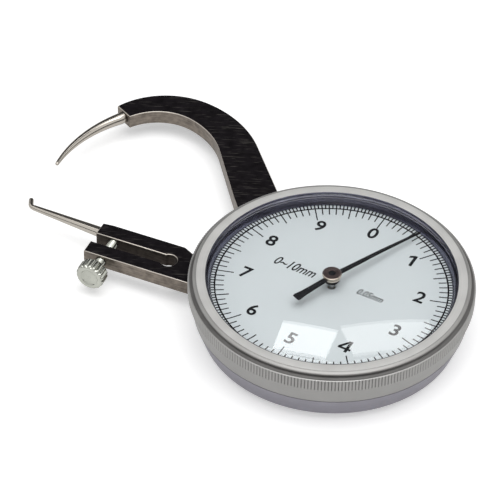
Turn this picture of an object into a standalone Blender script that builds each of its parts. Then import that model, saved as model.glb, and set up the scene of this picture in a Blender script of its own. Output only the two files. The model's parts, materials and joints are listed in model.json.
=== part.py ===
# Dial caliper gauge: a round case with a turning dial ring, a curved fixed arm with a bent needle,
# and a slotted moving arm with a stylus, which drives the pointer through a toothed sector and two
# gear pairs. Units are metres and +Z points up through the dial. The origin is on the dial's axis,
# in the middle of the back cover's underside.

import bpy
import bmesh
from math import acos, asin, atan2, ceil, cos, pi, radians, sin, sqrt
from mathutils import Matrix, Vector

# Clearances shared by all pieces
SEAT_GAP = 0.0003           # between flat faces that rest on each other
FIT_GAP = 0.00015           # between a pin or shank and its hole
SCREW_SEAT_GAP = 0.0001     # under a screw's head
RUNNING_GAP = 0.0003        # between the turning bezel and the case
CUT_OVERRUN = 0.0006        # how far a cutter reaches past the face that it opens
MERGE_DISTANCE = 0.000001   # points closer than this become one

# Case, turned. Its wall clears the toothed sector, and its other radii follow from the wall
SECTOR_ROOM = 0.003056              # between the sector's outer corner and the wall
CASE_NECK_WALL = 0.0020
CASE_SHOULDER_WIDTH = 0.00105       # ledge outside the neck, under the bezel
CASE_TAPER = 0.00145                # the case draws in by this much to its lower edge
CASE_FLOOR_THICKNESS = 0.0010
CASE_NECK_HEIGHT = 0.0027
BACK_COVER_THICKNESS = 0.0015
BACK_COVER_INSET = 0.0008           # of the cover's upper edge from the case's lower edge
BACK_COVER_CHAMFER = 0.0014
NOTCH_SILL = 0.00005                # step from the floor up to the notches in the wall
NOTCH_REACH_SHARE = 3.0             # of the wall's thickness, for the moving arm's notch
FIXED_NOTCH_OVERRUN = 0.0058        # of the fixed arm's notch inside the foot's edge

# Both arms are cut from the same plate
ARM_THICKNESS = 0.0029

# Dial and crystal. Their radii follow from the case's neck
DIAL_THICKNESS = 0.0005
DIAL_INSET = 0.0011                 # of the dial's edge inside the neck's outer face
DIAL_CLEARANCE = 0.0002             # between the dial and the screw heads under it
DIAL_HOLE_RADIUS = 0.0015
SUPPORT_RING_THICKNESS = 0.0003
SUPPORT_RING_WIDTH = 0.0017
SEAT_RING_HEIGHT = 0.0012
SEAT_RING_WIDTH = 0.0006
CRYSTAL_THICKNESS = 0.0010
CRYSTAL_RIM_WIDTH = 0.0009          # flat rim outside the dome
CRYSTAL_DOME_RISE = 0.0020
CRYSTAL_STEPS = 4

# Bezel, turned. Radii are measured from its bore and heights from its top
BEZEL_WALL = 0.00165                # from the bore to the knurl
BEZEL_SKIRT_INSET = 0.0007          # of the skirt's lower edge from the knurl
BEZEL_GROOVE_INSET = 0.0012
BEZEL_SHOULDER_INSET = 0.0008
BEZEL_TOP_INSET = 0.00145
BEZEL_LIP_WIDTH = 0.0006            # overhang above the crystal's rim
BEZEL_LIP_THICKNESS = 0.0004
BEZEL_LIP_GAP = 0.0002              # between the lip and the crystal's rim
BEZEL_SHOULDER_DROP = 0.0006        # from the flat top to the foot of its rounded edge
BEZEL_GROOVE_DROP = 0.00095
KNURL_TOP_DROP = 0.00115
KNURL_HEIGHT = 0.0025
KNURL_DEPTH = 0.00018
KNURL_RIBS = 32
SKIRT_TAPER_HEIGHT = 0.0009         # the skirt's lowest part draws in over this height
RETAINING_WIRE_RADIUS = 0.00024
RETAINING_GROOVE_DEPTH = 0.0006
RETAINING_GROOVE_HEIGHT = 0.0007
RETAINING_SPRING_GAP_DEGREES = 24.0
RETAINING_WIRE_STEPS = 32
RETAINING_WIRE_SIDES = 4

# Bar of the moving arm. It is laid out in its own frame: "along" runs outward from the dial's axis,
# "across" runs to the side on which the stylus sits.
BAR_ANGLE_DEGREES = 159.5
BAR_WIDTH = 0.0086
BAR_SHIFT = -0.00127                # of the bar's middle line from the dial's axis
BAR_REACH = 0.0219                  # from the case's edge to the bar's end
BAR_START_INSET = 0.0020            # inside the wall, where the lower edge turns to the hub
BAR_CHAMFER_STAND = 0.00035         # outside the case, where the upper edge's slope begins
BAR_CHAMFER_LENGTH = 0.0049
BAR_CHAMFER_DEPTH = 0.0025
BAR_NOSE_LENGTH = 0.0021            # the upper edge dips a little at its end
BAR_NOSE_DEPTH = 0.00025
SLOT_WIDTH = 0.0024
SLOT_SHIFT = -0.00015               # of the slot from the bar's middle line
SLOT_LENGTH = 0.01532               # from the bar's end to the relief hole's middle
RELIEF_HOLE_RADIUS = 0.0016
RELIEF_HOLE_STEPS = 14
JAW_HUB_RADIUS = 0.0042
JAW_HUB_STEPS = 14

# Jaw pivot, seen from above. The tips meet after this swing.
JAW_PIVOT_X = 0.00467
JAW_PIVOT_Y = 0.01119
JAW_SWING_DEGREES = 9.54
JAW_POST_RADIUS = 0.0015
JAW_POST_FOOT_RADIUS = 0.0010
JAW_SCREW_HEAD_RADIUS = 0.0023
JAW_SCREW_HEAD_HEIGHT = 0.0006
JAW_SCREW_SHANK_RADIUS = 0.0007
JAW_SCREW_SHANK_LENGTH = 0.0026
STOP_PIN_RADIUS = 0.0008
STOP_PIN_SHARE = 0.36               # along the arm's lower edge, from the bar to the hub

# Thumb screw across the slot
ADJUSTER_SETBACK = 0.00341          # of its axis from the bar's end
ADJUSTER_HEAD_RADIUS = 0.0028
ADJUSTER_HEAD_THICKNESS = 0.00265
ADJUSTER_STAND = 0.00228            # between the bar's lower edge and the head
ADJUSTER_SHANK_RADIUS = 0.0009
ADJUSTER_SHANK_GRIP = 0.00182       # how far the shank goes into the upper prong
ADJUSTER_RIBS = 18
ADJUSTER_RIB_DEPTH = 0.00028
ADJUSTER_CHAMFER = 0.00035
ADJUSTER_DISH_RADIUS = 0.0017
ADJUSTER_DISH_DEPTH = 0.00018

# Stylus: a tapering rod with a turned-up tip
STYLUS_ANGLE_DEGREES = 155.5
STYLUS_SHIFT = 0.0003               # of its root from the upper prong's middle line
STYLUS_LENGTH = 0.01435             # from the arm's end to the bend
STYLUS_STEPS = 4
STYLUS_ROOT_RADIUS = 0.00102
STYLUS_BEND_RADIUS = 0.00054
STYLUS_TIP_RADIUS = 0.0005
STYLUS_BEND_INSIDE = 0.0011         # radius of the bend's middle line
STYLUS_BEND_STEPS = 5
STYLUS_TIP_LENGTH = 0.0016
STYLUS_TIP_ANGLE_DEGREES = 94.0
STYLUS_PEG_RADIUS = 0.00065
STYLUS_PEG_WALL = 0.00056           # metal between the peg and the thumb screw

# Fixed arm: one straight and two arcs, tapering to the needle
FIXED_ARM_STAND = 0.00793           # of its straight's start from the case's edge
FIXED_ARM_PLACE_DEGREES = 117.33    # of its straight's start about the dial's axis
FIXED_ARM_START_DEGREES = 106.87
FIXED_ARM_STRAIGHT = 0.01346
FIXED_ARM_STRAIGHT_STEPS = 3
FIXED_ARM_FIRST_RADIUS = 0.01935
FIXED_ARM_FIRST_DEGREES = 40.54
FIXED_ARM_SECOND_RADIUS = 0.01253
FIXED_ARM_SECOND_DEGREES = 72.85
FIXED_ARM_CURVE_STEPS = 18
FIXED_ARM_ROOT_WIDTH = 0.00848
FIXED_ARM_END_WIDTH = 0.00407
FIXED_ARM_TAPER_POWER = 1.26
FOOT_GAP = 0.0004                   # between the foot and the case's wall
FOOT_CLEARANCE = 0.00035            # between the foot and the closed moving arm
FOOT_END_X = -0.0003
FOOT_STEPS = 5
FOOT_SCREW_INSETS = (0.00182, 0.00365)
FOOT_SCREW_ANGLES_DEGREES = (122.4, 99.6)

# Needle in the fixed arm's end, bent to one arc
NEEDLE_ROOT_LENGTH = 0.00087        # straight stretch before the arc
NEEDLE_ARC_RADIUS = 0.02692
NEEDLE_START_DEGREES = 123.3
NEEDLE_END_DEGREES = 162.2
NEEDLE_STEPS = 12
NEEDLE_ROOT_RADIUS = 0.00115
NEEDLE_TIP_RADIUS = 0.00038
NEEDLE_POINT_SHARES = (0.6, 0.95)   # of the tip's radius, along its rounded end
NEEDLE_PEG_RADIUS = 0.0008
NEEDLE_PEG_LENGTH = 0.0040

# Gear train: the sector's inner teeth drive the intermediate pinion, whose wheel drives the centre
# pinion. The two ratios are 10 and 4.
MODULE = 0.0002
SECTOR_TEETH = 150
INTERMEDIATE_PINION_TEETH = 15
WHEEL_TEETH = 80
CENTRE_PINION_TEETH = 20
ADDENDUM_SHARE = 0.8                # of the module
DEDENDUM_SHARE = 1.2
TOOTH_ROOT_SHARE = 0.23             # half a tooth's width at its root, of the pitch
TOOTH_TIP_SHARE = 0.10
SECTOR_TEETH_BEFORE = 4             # inner teeth cut on each side of the resting mesh
SECTOR_TEETH_AFTER = 8
SECTOR_THICKNESS = 0.0007
SECTOR_RIM = 0.0030                 # outside the teeth
SECTOR_RIM_STEPS = 14
SECTOR_WINDOW_CLEARANCE = 0.0005
SECTOR_WINDOW_STEPS = 8
SECTOR_RIB_DEGREES = 9.4
SECTOR_HUB_RADIUS = 0.0036
SECTOR_HUB_STEPS = (4, 8)           # from the fan to the ear, and from the ear to the fan
SECTOR_EAR_DEGREES = 192.0
SECTOR_EAR_HALF_WIDTH = 0.0020
SECTOR_EAR_LENGTH = 0.0122
SECTOR_EAR_STEPS = 6
SECTOR_SCREW_REACHES = (0.0070, 0.0102)
WHEEL_THICKNESS = 0.0006
WHEEL_LIFT = 0.0004                 # above the sector
WHEEL_CROSSINGS = 4
WHEEL_RIM_SHARE = 0.76              # inner edge of the rim, of the pitch radius
WHEEL_RIM_STEPS = 6
WHEEL_HUB_SHARE = 0.30
WHEEL_HUB_STEPS = 3
WHEEL_SPOKE_DEGREES = 20.0
PINION_OVERHANG = 0.00012           # a pinion is this much taller than its mate at each face
ARBOR_RADIUS = 0.0008
ARBOR_PIVOT_RADIUS = 0.0004
ARBOR_SHOULDER_RADIUS = 0.0013
POINTER_ARBOR_RADIUS = 0.0005
BUSH_RADIUS = 0.0012
BUSH_FLANGE_RADIUS = 0.0018
BUSH_FLANGE_THICKNESS = 0.0003
BUSH_BORE_GAP = 0.0001

# Springs
RETURN_SPRING_STRIP = 0.0002
RETURN_SPRING_HEIGHT = 0.0005
RETURN_SPRING_TURNS = 2.4
RETURN_SPRING_OUTER_RADIUS = 0.0048
SPRING_PIN_RADIUS = 0.0004
SPRING_PIN_REACH = 0.0049           # from the jaw pivot
HAIRSPRING_STRIP = 0.00014
HAIRSPRING_HEIGHT = 0.0004
HAIRSPRING_TURNS = 4.25
HAIRSPRING_OUTER_RADIUS = 0.0044
HAIRSPRING_LIFT = 0.0014            # above the case's floor
HAIRSPRING_END_DEGREES = 235.0
SPIRAL_STEPS = 12                   # for each turn
COLLET_RADIUS = 0.0012
COLLET_HEIGHT = 0.0008
STUD_RADIUS = 0.0006

# Movement plate on its pillars
PLATE_CLEARANCE = 0.0015            # between the plate's edge and the case's wall
PLATE_THICKNESS = 0.0006
PLATE_LIFT = 0.0002                 # above the wheel
PLATE_STEPS = 48
PLATE_WINDOW_INNER_RADIUS = 0.0060
PLATE_WINDOW_RIM = 0.0045           # between the windows and the plate's edge
PLATE_WINDOWS_DEGREES = ((95.0, 165.0), (225.0, 275.0))
PLATE_WINDOW_STEPS = (8, 4)         # along the outer side and the inner side
PILLAR_ANGLES_DEGREES = (60.0, 300.0, 195.0)
PILLAR_INSET = 0.0019               # from the plate's edge
PILLAR_RADIUS = 0.0014
PILLAR_FOOT_RADIUS = 0.0009
PILLAR_FOOT_LENGTH = 0.0007
SMALL_SCREW_HEAD_RADIUS = 0.0011
SMALL_SCREW_HEAD_HEIGHT = 0.0004
SMALL_SCREW_SHANK_RADIUS = 0.0005
SMALL_SCREW_SHANK_LENGTH = 0.0020
SECTOR_SCREW_SHANK_LENGTH = 0.0018
SLOT_CUT_WIDTH = 0.0003
SLOT_CUT_DEPTH = 0.0002
ARM_SCREW_HEAD_RADIUS = 0.0015
ARM_SCREW_HEAD_HEIGHT = 0.0008
ARM_SCREW_SHANK_RADIUS = 0.0008
COVER_SCREW_ANGLES_DEGREES = (30.0, 150.0, 270.0)
COVER_SCREW_INSET = 0.0035          # from the case's wall
COVER_SCREW_HEAD_RADIUS = 0.0014
COVER_SCREW_HEAD_HEIGHT = 0.0007
COVER_SCREW_SHANK_RADIUS = 0.0007

# Pointer
POINTER_ANGLE_DEGREES = 42.57
POINTER_TIP_CLEARANCE = 0.0008      # between its tip and the seat ring
POINTER_TAIL = 0.0085
POINTER_THICKNESS = 0.0003
POINTER_HUB_RADIUS = 0.0016
POINTER_MIDDLE_REACH = 0.0115
POINTER_MIDDLE_LIFT = 0.0018        # of its underside above the dial
POINTER_TIP_LIFT = 0.0009
POINTER_TAIL_LIFT = 0.0021
POINTER_ROOT_HALF_WIDTH = 0.00048
POINTER_TIP_HALF_WIDTH = 0.00012
POINTER_TAIL_HALF_WIDTH = 0.00095
POINTER_COLLAR_RADIUS = 0.0012
POINTER_COLLAR_DROP = 0.00085       # of its lower end below the hand's hub
POINTER_CAP_RADIUS = 0.0017
POINTER_CAP_THICKNESS = 0.00042
POINTER_CAP_CLEARANCE = 0.00018     # under the crystal
POINTER_CAP_DISH_RADIUS = 0.0007
POINTER_CAP_DISH_DEPTH = 0.00012

# Number of sides of round pieces
BEZEL_SIDES = 2 * KNURL_RIBS        # a rib's crest and a valley
CASE_SIDES = 44
RING_SIDES = 44
CAP_SIDES = 20
PIN_SIDES = 16
BORE_SIDES = 12
SCREW_SIDES = 10
ROD_SIDES = 10

# Heights of the layers, from the back up
CASE_BOTTOM = BACK_COVER_THICKNESS + SEAT_GAP
FLOOR_TOP = CASE_BOTTOM + CASE_FLOOR_THICKNESS
HAIRSPRING_BOTTOM = FLOOR_TOP + HAIRSPRING_LIFT
ARM_BOTTOM = FLOOR_TOP + SEAT_GAP
ARM_TOP = ARM_BOTTOM + ARM_THICKNESS
ARM_MIDDLE = (ARM_BOTTOM + ARM_TOP) / 2
CASE_SHOULDER = ARM_TOP
BEZEL_BOTTOM = CASE_SHOULDER + RUNNING_GAP
NECK_TOP = CASE_SHOULDER + CASE_NECK_HEIGHT
SECTOR_BOTTOM = ARM_TOP + SEAT_GAP
SECTOR_TOP = SECTOR_BOTTOM + SECTOR_THICKNESS
WHEEL_BOTTOM = SECTOR_TOP + WHEEL_LIFT
WHEEL_TOP = WHEEL_BOTTOM + WHEEL_THICKNESS
PLATE_BOTTOM = WHEEL_TOP + PLATE_LIFT
PLATE_TOP = PLATE_BOTTOM + PLATE_THICKNESS
DIAL_BOTTOM = PLATE_TOP + SCREW_SEAT_GAP + SMALL_SCREW_HEAD_HEIGHT + DIAL_CLEARANCE
DIAL_TOP = DIAL_BOTTOM + DIAL_THICKNESS
SUPPORT_RING_BOTTOM = DIAL_BOTTOM - FIT_GAP - SUPPORT_RING_THICKNESS
SEAT_RING_BOTTOM = DIAL_TOP + FIT_GAP
CRYSTAL_BOTTOM = SEAT_RING_BOTTOM + SEAT_RING_HEIGHT + FIT_GAP
LIP_BOTTOM = CRYSTAL_BOTTOM + CRYSTAL_THICKNESS + BEZEL_LIP_GAP
BEZEL_TOP = LIP_BOTTOM + BEZEL_LIP_THICKNESS
KNURL_TOP = BEZEL_TOP - KNURL_TOP_DROP
KNURL_BOTTOM = KNURL_TOP - KNURL_HEIGHT
CAP_BOTTOM = CRYSTAL_BOTTOM + CRYSTAL_DOME_RISE - POINTER_CAP_CLEARANCE - POINTER_CAP_THICKNESS
HUB_BOTTOM = CAP_BOTTOM - FIT_GAP - POINTER_THICKNESS

# Places worked out from the sizes above, seen from above
DIAL_AXIS = Vector((0, 0))
JAW_PIVOT = Vector((JAW_PIVOT_X, JAW_PIVOT_Y))
JAW_SWING = radians(JAW_SWING_DEGREES)
SECTOR_PITCH_RADIUS = MODULE * SECTOR_TEETH / 2
INTERMEDIATE_PITCH_RADIUS = MODULE * INTERMEDIATE_PINION_TEETH / 2
WHEEL_PITCH_RADIUS = MODULE * WHEEL_TEETH / 2
CENTRE_PITCH_RADIUS = MODULE * CENTRE_PINION_TEETH / 2
SECTOR_REACH = SECTOR_PITCH_RADIUS - INTERMEDIATE_PITCH_RADIUS
WHEEL_REACH = WHEEL_PITCH_RADIUS + CENTRE_PITCH_RADIUS
SECTOR_OUTER_RADIUS = SECTOR_PITCH_RADIUS + MODULE * DEDENDUM_SHARE + SECTOR_RIM
SECTOR_PITCH = 2 * pi / SECTOR_TEETH


def polar(radius, angle, centre=DIAL_AXIS):
    """Return the plan point at a radius and an angle in radians about a centre."""
    return centre + Vector((radius * cos(angle), radius * sin(angle)))


def arc(radius, start, end, steps, centre=DIAL_AXIS):
    """Return plan points along an arc, both ends included. Angles are in radians."""
    return [polar(radius, start + (end - start) * i / steps, centre) for i in range(steps + 1)]


def bar_point(along, across):
    """Return the plan point at a place in the moving arm's own frame, at rest."""
    angle = radians(BAR_ANGLE_DEGREES)
    outward = Vector((cos(angle), sin(angle)))
    sideways = Vector((sin(angle), -cos(angle)))
    return along * outward + across * sideways


def tangent_point(point, centre, radius, side):
    """Return where the line from a point touches a circle. side is 1 or -1."""
    away = point - centre
    angle = atan2(away.y, away.x) + side * acos(radius / away.length)
    return polar(radius, angle, centre)


def turned_about(point, centre, angle):
    """Return a plan point turned about a centre by an angle in radians."""
    offset = point - centre
    return centre + Vector((offset.x * cos(angle) - offset.y * sin(angle),
                            offset.x * sin(angle) + offset.y * cos(angle)))


def circles_meet(first, first_radius, second, second_radius):
    """Return the right-hand meeting point of two circles, looking from the first to the second."""
    away = second - first
    distance = away.length
    along = (first_radius ** 2 - second_radius ** 2 + distance ** 2) / (2 * distance)
    aside = sqrt(first_radius ** 2 - along ** 2)
    forward = away / distance
    return first + along * forward + aside * Vector((forward.y, -forward.x))


INTERMEDIATE_AXIS = circles_meet(DIAL_AXIS, WHEEL_REACH, JAW_PIVOT, SECTOR_REACH)
TO_PINION = INTERMEDIATE_AXIS - JAW_PIVOT
SECTOR_MESH_ANGLE = atan2(TO_PINION.y, TO_PINION.x)
WHEEL_MESH_ANGLE = atan2(-INTERMEDIATE_AXIS.y, -INTERMEDIATE_AXIS.x)
SECTOR_WINDOW_START = SECTOR_MESH_ANGLE - SECTOR_TEETH_BEFORE * SECTOR_PITCH
SECTOR_WINDOW_END = SECTOR_MESH_ANGLE + SECTOR_TEETH_AFTER * SECTOR_PITCH
SECTOR_START = SECTOR_WINDOW_START - radians(SECTOR_RIB_DEGREES)
SECTOR_END = SECTOR_WINDOW_END + radians(SECTOR_RIB_DEGREES)
SECTOR_CORNER_REACH = max(polar(SECTOR_OUTER_RADIUS, SECTOR_START, JAW_PIVOT).length,
                          polar(SECTOR_OUTER_RADIUS, SECTOR_END, JAW_PIVOT).length)

# Radii about the dial's axis, from the wall that clears the sector outward
CASE_WALL_INNER_RADIUS = SECTOR_CORNER_REACH + SECTOR_ROOM
CASE_NECK_RADIUS = CASE_WALL_INNER_RADIUS + CASE_NECK_WALL
CASE_UPPER_RADIUS = CASE_NECK_RADIUS + CASE_SHOULDER_WIDTH
CASE_LOWER_RADIUS = CASE_UPPER_RADIUS - CASE_TAPER
BACK_COVER_TOP_RADIUS = CASE_LOWER_RADIUS - BACK_COVER_INSET
BACK_COVER_BOTTOM_RADIUS = BACK_COVER_TOP_RADIUS - BACK_COVER_CHAMFER
COVER_SCREW_REACH = CASE_WALL_INNER_RADIUS - COVER_SCREW_INSET
PLATE_RADIUS = CASE_WALL_INNER_RADIUS - PLATE_CLEARANCE
PLATE_WINDOW_OUTER_RADIUS = PLATE_RADIUS - PLATE_WINDOW_RIM
PILLAR_REACH = PLATE_RADIUS - PILLAR_INSET
DIAL_RADIUS = CASE_NECK_RADIUS - DIAL_INSET
SUPPORT_RING_INNER_RADIUS = DIAL_RADIUS - SUPPORT_RING_WIDTH
SEAT_RING_INNER_RADIUS = DIAL_RADIUS - SEAT_RING_WIDTH
CRYSTAL_DOME_RADIUS = DIAL_RADIUS - CRYSTAL_RIM_WIDTH
POINTER_LENGTH = SEAT_RING_INNER_RADIUS - POINTER_TIP_CLEARANCE
BEZEL_BORE_RADIUS = CASE_NECK_RADIUS + RUNNING_GAP
BEZEL_INNER_RADIUS = DIAL_RADIUS + RUNNING_GAP
BEZEL_TOP_INNER_RADIUS = BEZEL_INNER_RADIUS - BEZEL_LIP_WIDTH
BEZEL_OUTER_RADIUS = BEZEL_BORE_RADIUS + BEZEL_WALL
BEZEL_SKIRT_RADIUS = BEZEL_OUTER_RADIUS - BEZEL_SKIRT_INSET
BEZEL_GROOVE_RADIUS = BEZEL_OUTER_RADIUS - BEZEL_GROOVE_INSET
BEZEL_SHOULDER_RADIUS = BEZEL_OUTER_RADIUS - BEZEL_SHOULDER_INSET
BEZEL_TOP_OUTER_RADIUS = BEZEL_OUTER_RADIUS - BEZEL_TOP_INSET
FOOT_RADIUS = CASE_WALL_INNER_RADIUS - FOOT_GAP
FIXED_ARM_START = polar(CASE_UPPER_RADIUS + FIXED_ARM_STAND, radians(FIXED_ARM_PLACE_DEGREES))

# Places along and across the moving arm's bar
BAR_UPPER = BAR_SHIFT + BAR_WIDTH / 2
BAR_LOWER = BAR_SHIFT - BAR_WIDTH / 2
BAR_END = CASE_UPPER_RADIUS + BAR_REACH
BAR_LOWER_START = CASE_WALL_INNER_RADIUS - BAR_START_INSET
BAR_CHAMFER_END = CASE_UPPER_RADIUS + BAR_CHAMFER_STAND
BAR_CHAMFER_START = BAR_CHAMFER_END + BAR_CHAMFER_LENGTH
SLOT_MIDDLE = BAR_SHIFT + SLOT_SHIFT
SLOT_UPPER = SLOT_MIDDLE + SLOT_WIDTH / 2
SLOT_ROOT = BAR_END - SLOT_LENGTH
ADJUSTER_ALONG = BAR_END - ADJUSTER_SETBACK
ADJUSTER_FACE_ACROSS = BAR_LOWER - ADJUSTER_STAND - ADJUSTER_HEAD_THICKNESS
ADJUSTER_SHANK_END = SLOT_UPPER + ADJUSTER_SHANK_GRIP
STYLUS_ACROSS = (SLOT_UPPER + BAR_UPPER) / 2 + STYLUS_SHIFT
STYLUS_PEG_LENGTH = ADJUSTER_SETBACK - ADJUSTER_SHANK_RADIUS - FIT_GAP - STYLUS_PEG_WALL


def material(name, colour, metallic, roughness, transmission=0.0):
    """Return a Principled material with one colour."""
    made = bpy.data.materials.new(name)
    made.use_nodes = True
    shader = made.node_tree.nodes["Principled BSDF"]
    shader.inputs["Base Color"].default_value = (*colour, 1.0)
    shader.inputs["Metallic"].default_value = metallic
    shader.inputs["Roughness"].default_value = roughness
    shader.inputs["Transmission Weight"].default_value = transmission
    made.diffuse_color = (*colour, 1.0)
    return made


def finish_mesh(name, bm):
    """Turn a bmesh into a mesh with merged points, outward faces and smooth round sides."""
    bmesh.ops.remove_doubles(bm, verts=bm.verts, dist=MERGE_DISTANCE)
    bmesh.ops.recalc_face_normals(bm, faces=bm.faces)
    mesh = bpy.data.meshes.new(name)
    bm.to_mesh(mesh)
    bm.free()
    mesh.shade_smooth()
    mesh.set_sharp_from_angle(angle=radians(40))
    return mesh


def turned(name, profile, sides, closed=False):
    """Spin a profile of (radius, height) points about Z. A closed profile makes a ring."""
    bm = bmesh.new()
    points = [bm.verts.new((radius, 0, height)) for radius, height in profile]
    pairs = list(zip(points, points[1:]))
    if closed:
        pairs.append((points[-1], points[0]))
    edges = [bm.edges.new(pair) for pair in pairs]
    bmesh.ops.spin(bm, geom=points + edges, cent=(0, 0, 0), axis=(0, 0, 1),
                   angle=2 * pi, steps=sides, use_merge=True)
    return finish_mesh(name, bm)


def plate(name, outline, holes, bottom, top):
    """Extrude a plan outline with holes between two heights."""
    bm = bmesh.new()
    edges = []
    for loop in [outline] + holes:
        points = [bm.verts.new((point[0], point[1], bottom)) for point in loop]
        edges += [bm.edges.new((points[i - 1], points[i])) for i in range(len(points))]
    filled = bmesh.ops.triangle_fill(bm, use_beauty=True, edges=edges)
    faces = [item for item in filled["geom"] if isinstance(item, bmesh.types.BMFace)]
    raised = bmesh.ops.extrude_face_region(bm, geom=faces, use_keep_orig=True)
    lifted = [item for item in raised["geom"] if isinstance(item, bmesh.types.BMVert)]
    bmesh.ops.translate(bm, verts=lifted, vec=(0, 0, top - bottom))
    return finish_mesh(name, bm)


def stacked(name, sections, looped=False):
    """Skin a row of sections with as many points each, and close its ends unless it is looped."""
    bm = bmesh.new()
    rings = [[bm.verts.new(point) for point in section] for section in sections]
    pairs = list(zip(rings, rings[1:]))
    if looped:
        pairs.append((rings[-1], rings[0]))
    for lower, upper in pairs:
        for i in range(len(lower)):
            bm.faces.new((lower[i - 1], lower[i], upper[i], upper[i - 1]))
    if not looped:
        bm.faces.new(rings[0])
        bm.faces.new(list(reversed(rings[-1])))
    return finish_mesh(name, bm)


def rod(name, path, sides, height):
    """Skin round sections along a flat path of (point, heading, radius) at one height."""
    sections = []
    for point, heading, radius in path:
        aside = Vector((-sin(heading), cos(heading), 0))
        middle = Vector((point.x, point.y, height))
        turns = [2 * pi * i / sides for i in range(sides)]
        sections.append([middle + radius * (cos(t) * aside + Vector((0, 0, sin(t)))) for t in turns])
    return stacked(name, sections)


def spiral_strip(name, inner_radius, outer_radius, turns, end_angle, strip, height):
    """Skin a flat spiral strip that grows outward clockwise to its end angle."""
    count = ceil(turns * SPIRAL_STEPS)
    sections = []
    for i in range(count + 1):
        share = i / count
        angle = end_angle + 2 * pi * turns * (1 - share)
        radius = inner_radius + (outer_radius - inner_radius) * share
        inner = polar(radius - strip / 2, angle)
        outer = polar(radius + strip / 2, angle)
        sections.append([(inner.x, inner.y, 0), (outer.x, outer.y, 0),
                         (outer.x, outer.y, height), (inner.x, inner.y, height)])
    return stacked(name, sections)


def joined(meshes):
    """Return one mesh that holds several separate bodies."""
    bm = bmesh.new()
    for mesh in meshes:
        bm.from_mesh(mesh)
    result = bpy.data.meshes.new("bodies")
    bm.to_mesh(result)
    bm.free()
    return result


def combined(mesh, tools, operation="DIFFERENCE"):
    """Cut or join separate tool bodies with an exact Boolean and return the resulting mesh."""
    body = bpy.data.objects.new("body", mesh)
    tool = bpy.data.objects.new("tool", joined(tools))
    tool.hide_render = True
    tool.display_type = "WIRE"
    for item in (body, tool):
        bpy.context.collection.objects.link(item)
    boolean = body.modifiers.new("combine", "BOOLEAN")
    boolean.operation = operation
    boolean.solver = "EXACT"
    boolean.object = tool
    graph = bpy.context.evaluated_depsgraph_get()
    result = bpy.data.meshes.new_from_object(body.evaluated_get(graph))
    result.name = mesh.name
    for item in (body, tool):
        bpy.data.objects.remove(item)
    result.shade_smooth()
    result.set_sharp_from_angle(angle=radians(40))
    return result


def moved(mesh, x=0, y=0, z=0):
    """Shift a mesh and return it."""
    mesh.transform(Matrix.Translation((x, y, z)))
    return mesh


def pin(radius, bottom, top, place=DIAL_AXIS, sides=PIN_SIDES):
    """Return an upright cylinder at a plan place."""
    mesh = turned("pin", [(0, bottom), (radius, bottom), (radius, top), (0, top)], sides)
    return moved(mesh, place.x, place.y)


def cross_pin(radius, start, end, height, sides=PIN_SIDES):
    """Return a level cylinder between two plan points at one height."""
    away = end - start
    heading = atan2(away.y, away.x)
    return rod("cross_pin", [(start, heading, radius), (end, heading, radius)], sides, height)


def block(corners, bottom, top):
    """Return a prism on plan corners."""
    return plate("block", corners, [], bottom, top)


def piece(name, mesh, finish, joint=None, place=DIAL_AXIS, height=0.0, tilt=None):
    """Link one named piece. A piece with a joint is carried by the joint's empty."""
    made = bpy.data.objects.new(name, mesh)
    bpy.context.collection.objects.link(made)
    if not mesh.materials:
        mesh.materials.append(finish)
    made.location = (place.x, place.y, height)
    if tilt is not None:
        made.rotation_euler = tilt
    if joint is not None:
        made.location -= joint.location
        made.parent = joint
    return made


def joint_empty(name, place, height):
    """Return an empty on a joint's axis."""
    empty = bpy.data.objects.new(name, None)
    empty.location = (place.x, place.y, height)
    bpy.context.collection.objects.link(empty)
    return empty


def gear_outline(teeth, phase):
    """Return the plan outline of an outside gear with a tooth centred on the phase angle."""
    pitch = 2 * pi / teeth
    root = MODULE * (teeth / 2 - DEDENDUM_SHARE)
    tip = MODULE * (teeth / 2 + ADDENDUM_SHARE)
    shares = ((-TOOTH_ROOT_SHARE, root), (-TOOTH_TIP_SHARE, tip),
              (TOOTH_TIP_SHARE, tip), (TOOTH_ROOT_SHARE, root))
    points = []
    for tooth in range(teeth):
        for share, radius in shares:
            points.append(polar(radius, phase + (tooth + share) * pitch))
    return points


def sector_window():
    """Return the sector's window, with inner teeth along its outer side, about the jaw pivot."""
    tip = SECTOR_PITCH_RADIUS - MODULE * ADDENDUM_SHARE
    root = SECTOR_PITCH_RADIUS + MODULE * DEDENDUM_SHARE
    pinion_reach = INTERMEDIATE_PITCH_RADIUS + MODULE * ADDENDUM_SHARE
    inner = SECTOR_REACH - pinion_reach - SECTOR_WINDOW_CLEARANCE
    shares = ((-TOOTH_ROOT_SHARE, root), (-TOOTH_TIP_SHARE, tip),
              (TOOTH_TIP_SHARE, tip), (TOOTH_ROOT_SHARE, root))
    points = [polar(root, SECTOR_WINDOW_START)]
    for tooth in range(SECTOR_TEETH_BEFORE + SECTOR_TEETH_AFTER):
        middle = SECTOR_WINDOW_START + (tooth + 1 / 2) * SECTOR_PITCH
        points += [polar(radius, middle + share * SECTOR_PITCH) for share, radius in shares]
    points.append(polar(root, SECTOR_WINDOW_END))
    points += arc(inner, SECTOR_WINDOW_END, SECTOR_WINDOW_START, SECTOR_WINDOW_STEPS)
    return points


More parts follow.
